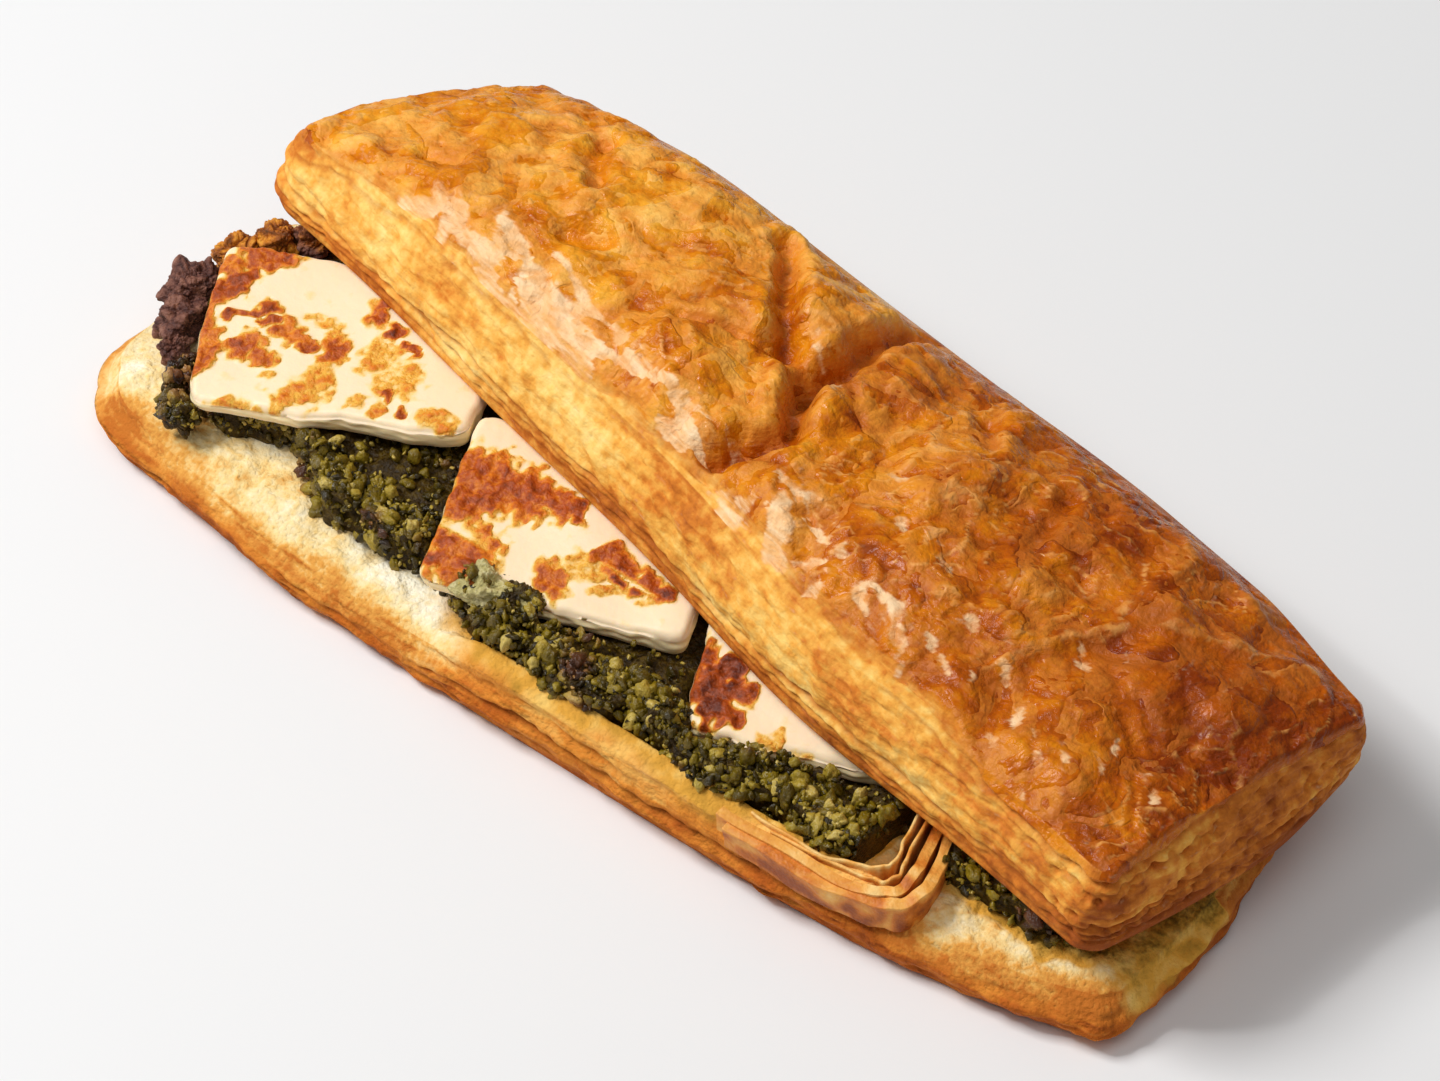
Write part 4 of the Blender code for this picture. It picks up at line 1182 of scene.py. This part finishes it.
baseTones = {
    "crust": (
        (0.0, 255, 222, 150), (0.3, 246, 190, 98), (0.55, 224, 140, 50), (0.78, 190, 98, 26),
        (1.0, 130, 58, 12),
    ),
    # colour of the crease and split: partly painted shade, partly browner leaf edges
    "line": (150, 76, 22),
    "inside": (
        (0.0, 255, 246, 220), (0.2, 252, 232, 184), (0.42, 247, 213, 142), (0.62, 232, 166, 76),
        (0.85, 198, 114, 38),
    ),
    "oily": ((0.3, 242, 196, 104), (0.5, 226, 164, 62), (0.75, 180, 132, 44)),
    "green": ((0.3, 190, 150, 60), (0.5, 146, 112, 34), (0.7, 92, 70, 18)),
    "leaf": ((0.0, 246, 204, 128), (0.35, 234, 168, 76), (0.7, 208, 118, 34), (1.0, 150, 72, 18)),
}


def basePastry():
    material, tree, shader, place = newMaterial("basePastry", {"Roughness": 0.7, "Specular IOR Level": 0.14})
    tones = baseTones
    mottle, grain = noiseAt(tree, place, 4.0, 5.0), noiseAt(tree, place, 0.8, 5.0)
    browned, groove, line = markOf(tree, "browned"), markOf(tree, "groove"), markOf(tree, "line")
    streak = noiseAt(tree, stretched(tree, place, (0.0, 0.0, 0.0), Euler()), 0.9, 5.0)
    # groove darkens the valleys between leaves and the crumb's pores: painted shade
    side = weighted(tree, -0.22, (browned, 0.6), (groove, 0.32), (mottle, 0.4), (streak, 0.45), (grain, 0.2))
    # the line colour in the crease and split: partly painted shade, partly browner edges
    lined = maths(tree, "MULTIPLY", line, stepAt(tree, streak, 0.25, 0.6))
    lined = maths(tree, "MULTIPLY", lined, 0.7)
    crust = mixColour(tree, lined, ramp(tree, side, tones["crust"]), tone(*tones["line"]))
    depth = weighted(tree, -0.4, (browned, 1.1), (groove, 0.3), (mottle, 0.75), (grain, 0.5))
    inside = ramp(tree, depth, tones["inside"])
    oil = markOf(tree, "oil")
    stain = weighted(tree, -0.35, (oil, 0.55), (mottle, 0.5), (grain, 0.3))
    oily, green = ramp(tree, mottle, tones["oily"]), ramp(tree, grain, tones["green"])
    oily = mixColour(tree, stepAt(tree, stain, 0.62, 1.1), oily, green)
    opened = weighted(tree, -0.5, (markOf(tree, "crumb"), 1.0), (mottle, 0.6), (streak, 0.4))
    soaked = stepAt(tree, weighted(tree, -0.4, (oil, 1.0), (mottle, 0.8)), 0.25, 0.85)
    colour = mixColour(tree, soaked, mixColour(tree, stepAt(tree, opened, 0.1, 0.9), crust, inside), oily)
    surface = weighted(tree, 0.0, (mottle, 0.5), (grain, 0.9), (streak, 0.5))
    connect(tree, shader, Base_Color=colour, Normal=bump(tree, surface, 0.6))
    return material


def leafPastry():
    material, tree, shader, place = newMaterial("leafPastry", {"Roughness": 0.5, "Specular IOR Level": 0.35})
    mottle, grain = noiseAt(tree, place, 3.0, 5.0), noiseAt(tree, place, 0.7, 4.0)
    depth = weighted(tree, -0.35, (markOf(tree, "browned"), 0.8), (mottle, 0.7), (grain, 0.35))
    surface = weighted(tree, 0.0, (mottle, 0.8), (grain, 0.4))
    colour = ramp(tree, depth, baseTones["leaf"])
    connect(tree, shader, Base_Color=colour, Normal=bump(tree, surface, 0.5))
    return material


cheeseTones = {
    "seared": (
        (0.04, 252, 225, 188), (0.16, 249, 211, 138), (0.3, 238, 180, 68),
        (0.5, 226, 130, 30), (0.7, 178, 78, 14), (0.98, 104, 38, 10),
    ),
    "side": (246, 222, 168),
}


def friedCheese():
    sockets = {"Subsurface Weight": 0.3, "Subsurface Scale": 0.002, "Subsurface Radius": (1.0, 0.7, 0.4)}
    material, tree, shader, place = newMaterial("friedHalloumi", {**sockets, "IOR": 1.38})
    mottle, grain = noiseAt(tree, place, 2.6, 5.0), noiseAt(tree, place, 0.8, 4.0)
    fried, side = markOf(tree, "fried"), markOf(tree, "side")
    present = stepAt(tree, fried, 0.02, 0.3)
    uneven = maths(tree, "MULTIPLY", weighted(tree, -0.58, (mottle, 0.7), (grain, 0.5)), present)
    heat = weighted(tree, 0.0, (fried, 0.92), (uneven, 0.9), (stepAt(tree, mottle, 0.5, 0.8), 0.12))
    seared = ramp(tree, heat, cheeseTones["seared"])
    colour = mixColour(tree, maths(tree, "MULTIPLY", side, 0.8), seared, tone(*cheeseTones["side"]))
    crisp = stepAt(tree, heat, 0.15, 0.5)
    dull = weighted(tree, 0.34, (grain, 0.25))
    surface = weighted(tree, 0.0, (mottle, 0.4), (maths(tree, "MULTIPLY", grain, crisp), 1.0))
    connect(tree, shader, Base_Color=colour, Roughness=dull, Normal=bump(tree, surface, 0.5))
    return material


pestoTones = {
    "dark": (
        (0.1, 24, 14, 3), (0.35, 52, 36, 6), (0.55, 84, 64, 10), (0.75, 118, 94, 24), (1.0, 156, 128, 50),
    ),
    "creamy": ((0.15, 140, 126, 66), (0.4, 190, 178, 118), (0.6, 220, 208, 160), (0.9, 240, 230, 196)),
    "herbs": (
        (0.0, 28, 20, 4), (0.2, 60, 48, 6), (0.4, 94, 76, 8), (0.6, 132, 110, 20), (0.8, 176, 150, 56),
        (1.0, 204, 178, 96),
    ),
    "nuts": (
        (0.0, 30, 16, 8), (0.3, 62, 34, 20), (0.6, 104, 62, 34), (0.85, 150, 104, 56), (1.0, 186, 140, 80),
    ),
    "purple": ((0.1, 160, 112, 92), (0.4, 122, 78, 64), (0.7, 78, 44, 38), (1.0, 36, 20, 14)),
    "golden": ((0.05, 248, 190, 70), (0.3, 214, 134, 34), (0.55, 156, 84, 20), (0.9, 64, 40, 12)),
}


def pestoPaste():
    material, tree, shader, place = newMaterial("pestoPaste", {"IOR": 1.5, "Specular IOR Level": 0.18})
    mottle, grain = noiseAt(tree, place, 2.4, 5.0), noiseAt(tree, place, 0.6, 5.0)
    depth = weighted(tree, -0.2, (mottle, 0.7), (grain, 0.5))
    dark, creamy = ramp(tree, depth, pestoTones["dark"]), ramp(tree, depth, pestoTones["creamy"])
    pale = stepAt(tree, weighted(tree, -0.2, (markOf(tree, "tint"), 1.0), (mottle, 0.4)), 0.3, 0.7)
    dull = weighted(tree, 0.15, (grain, 0.4))
    surface = weighted(tree, 0.0, (mottle, 0.6), (grain, 0.8))
    colour = mixColour(tree, pale, dark, creamy)
    connect(tree, shader, Base_Color=colour, Roughness=dull, Normal=bump(tree, surface, 0.6))
    return material


def choppedBits():
    material, tree, shader, place = newMaterial("choppedBits", {"IOR": 1.5, "Specular IOR Level": 0.38})
    mottle, grain = noiseAt(tree, place, 1.4, 4.0), noiseAt(tree, place, 0.4, 4.0)
    patch = noiseAt(tree, place, 12.0, 2.0)
    kind = weighted(tree, -0.22, (markOf(tree, "tint"), 0.8), (mottle, 0.4), (grain, 0.2))
    green, brown = ramp(tree, kind, pestoTones["herbs"]), ramp(tree, kind, pestoTones["nuts"])
    colour = mixColour(tree, stepAt(tree, patch, 0.55, 0.66), green, brown)
    dull = weighted(tree, 0.06, (grain, 0.25))
    connect(tree, shader, Base_Color=colour, Roughness=dull, Normal=bump(tree, grain, 0.3))
    return material


def lumpCrust():
    material, tree, shader, place = newMaterial("lumpCrust", {"Roughness": 0.5, "Specular IOR Level": 0.3})
    mottle, grain = noiseAt(tree, place, 2.0, 5.0), noiseAt(tree, place, 0.5, 5.0)
    # hollow darkens the creases between crumbs: painted shade; mottle and grain are the lumps' own tone
    shade = weighted(tree, -0.2, (markOf(tree, "hollow"), 0.4), (mottle, 0.6), (grain, 0.4))
    purple, golden = ramp(tree, shade, pestoTones["purple"]), ramp(tree, shade, pestoTones["golden"])
    kind = stepAt(tree, weighted(tree, -0.25, (markOf(tree, "tint"), 1.0), (mottle, 0.5)), 0.3, 0.6)
    surface = weighted(tree, 0.0, (mottle, 0.6), (grain, 0.8))
    connect(tree, shader, Base_Color=mixColour(tree, kind, purple, golden), Normal=bump(tree, surface, 0.5))
    return material


# build


def makeBase():
    piece = cutBlock("baseCrust", base["cuts"])
    pressInto(piece, baseShape, ("crumb", "groove", "line", "oil", "browned"))
    flattenUnderside(piece)
    finishPiece(piece, basePastry(), "base_pastry", "base_crust")


def makeLid():
    piece = cutBlock("lidCrust", lid["cuts"])
    pressInto(piece, lidShape, ("glaze", "groove", "line", "hollow", "pale", "flakeAndGlint", "browned"))
    flattenUnderside(piece)
    piece.location = Vector(lid["place"]) * mm
    piece.rotation_euler = lidTurn
    finishPiece(piece, glazedPastry(), "glazed_pastry", "lid_crust")


def makePesto():
    paste = pestoPaste()
    piece = cutBlock("pestoSpread", pesto["cuts"])
    pressInto(piece, pestoShape, ())
    finishPiece(piece, paste, "pesto", "pesto")
    makeLumps("pestoMounds", mounds, paste)
    makeBits(choppedBits())
    makeLumps("brownedLumps", lumps, lumpCrust())


def makeSlices():
    material = friedCheese()
    for name in slices:
        piece = cutBlock("fried" + name.title().replace("_", ""), cheese["cuts"])
        pressInto(piece, sliceShape(name), ("fried", "side"))
        finishPiece(piece, material, "halloumi", name)


makeBase()
makeCurl(leafPastry())
makePesto()
makeSlices()
makeLid()


# floor and light

studio = {
    "floor": (236, 236, 236),
    "floorSize": 8.0,  # in m
    "sky": 0.22,
    "key": {"from": (-640.0, -330.0, 930.0), "size": 440.0, "power": 9.8},
    "fill": {"from": (300.0, -380.0, 1300.0), "size": 900.0, "power": 3.8},
    "glint": {"from": (-430.0, -420.0, 780.0), "size": 60.0, "power": 1.3},
}


def makeLight(name, settings):
    bpy.ops.object.light_add(type="AREA", location=Vector(settings["from"]) * mm)
    light = bpy.context.object
    light.name = name
    light.data.shape = "SQUARE"
    light.data.size = settings["size"] * mm
    light.data.energy = settings["power"]
    light.rotation_mode = "QUATERNION"
    light.rotation_quaternion = (-Vector(settings["from"])).to_track_quat("-Z", "Y")


def makeStudio():
    deselect()
    bpy.ops.mesh.primitive_plane_add(size=studio["floorSize"], location=(0.0, 0.0, -0.0001))
    floor = bpy.context.object
    floor.name = "floor"
    paper = newMaterial("paper", {"Roughness": 0.9, "Base Color": tone(*studio["floor"])})[0]
    floor.data.materials.append(paper)
    for name in ("key", "fill", "glint"):
        makeLight(name + "Light", studio[name])
    world = bpy.data.worlds.new("studioWorld")
    world.use_nodes = True
    backdrop = world.node_tree.nodes["Background"]
    backdrop.inputs["Color"].default_value = (1.0, 1.0, 1.0, 1.0)
    backdrop.inputs["Strength"].default_value = studio["sky"]
    bpy.context.scene.world = world
    bpy.context.scene.view_settings.view_transform = "Standard"


makeStudio()
print("studio ready")
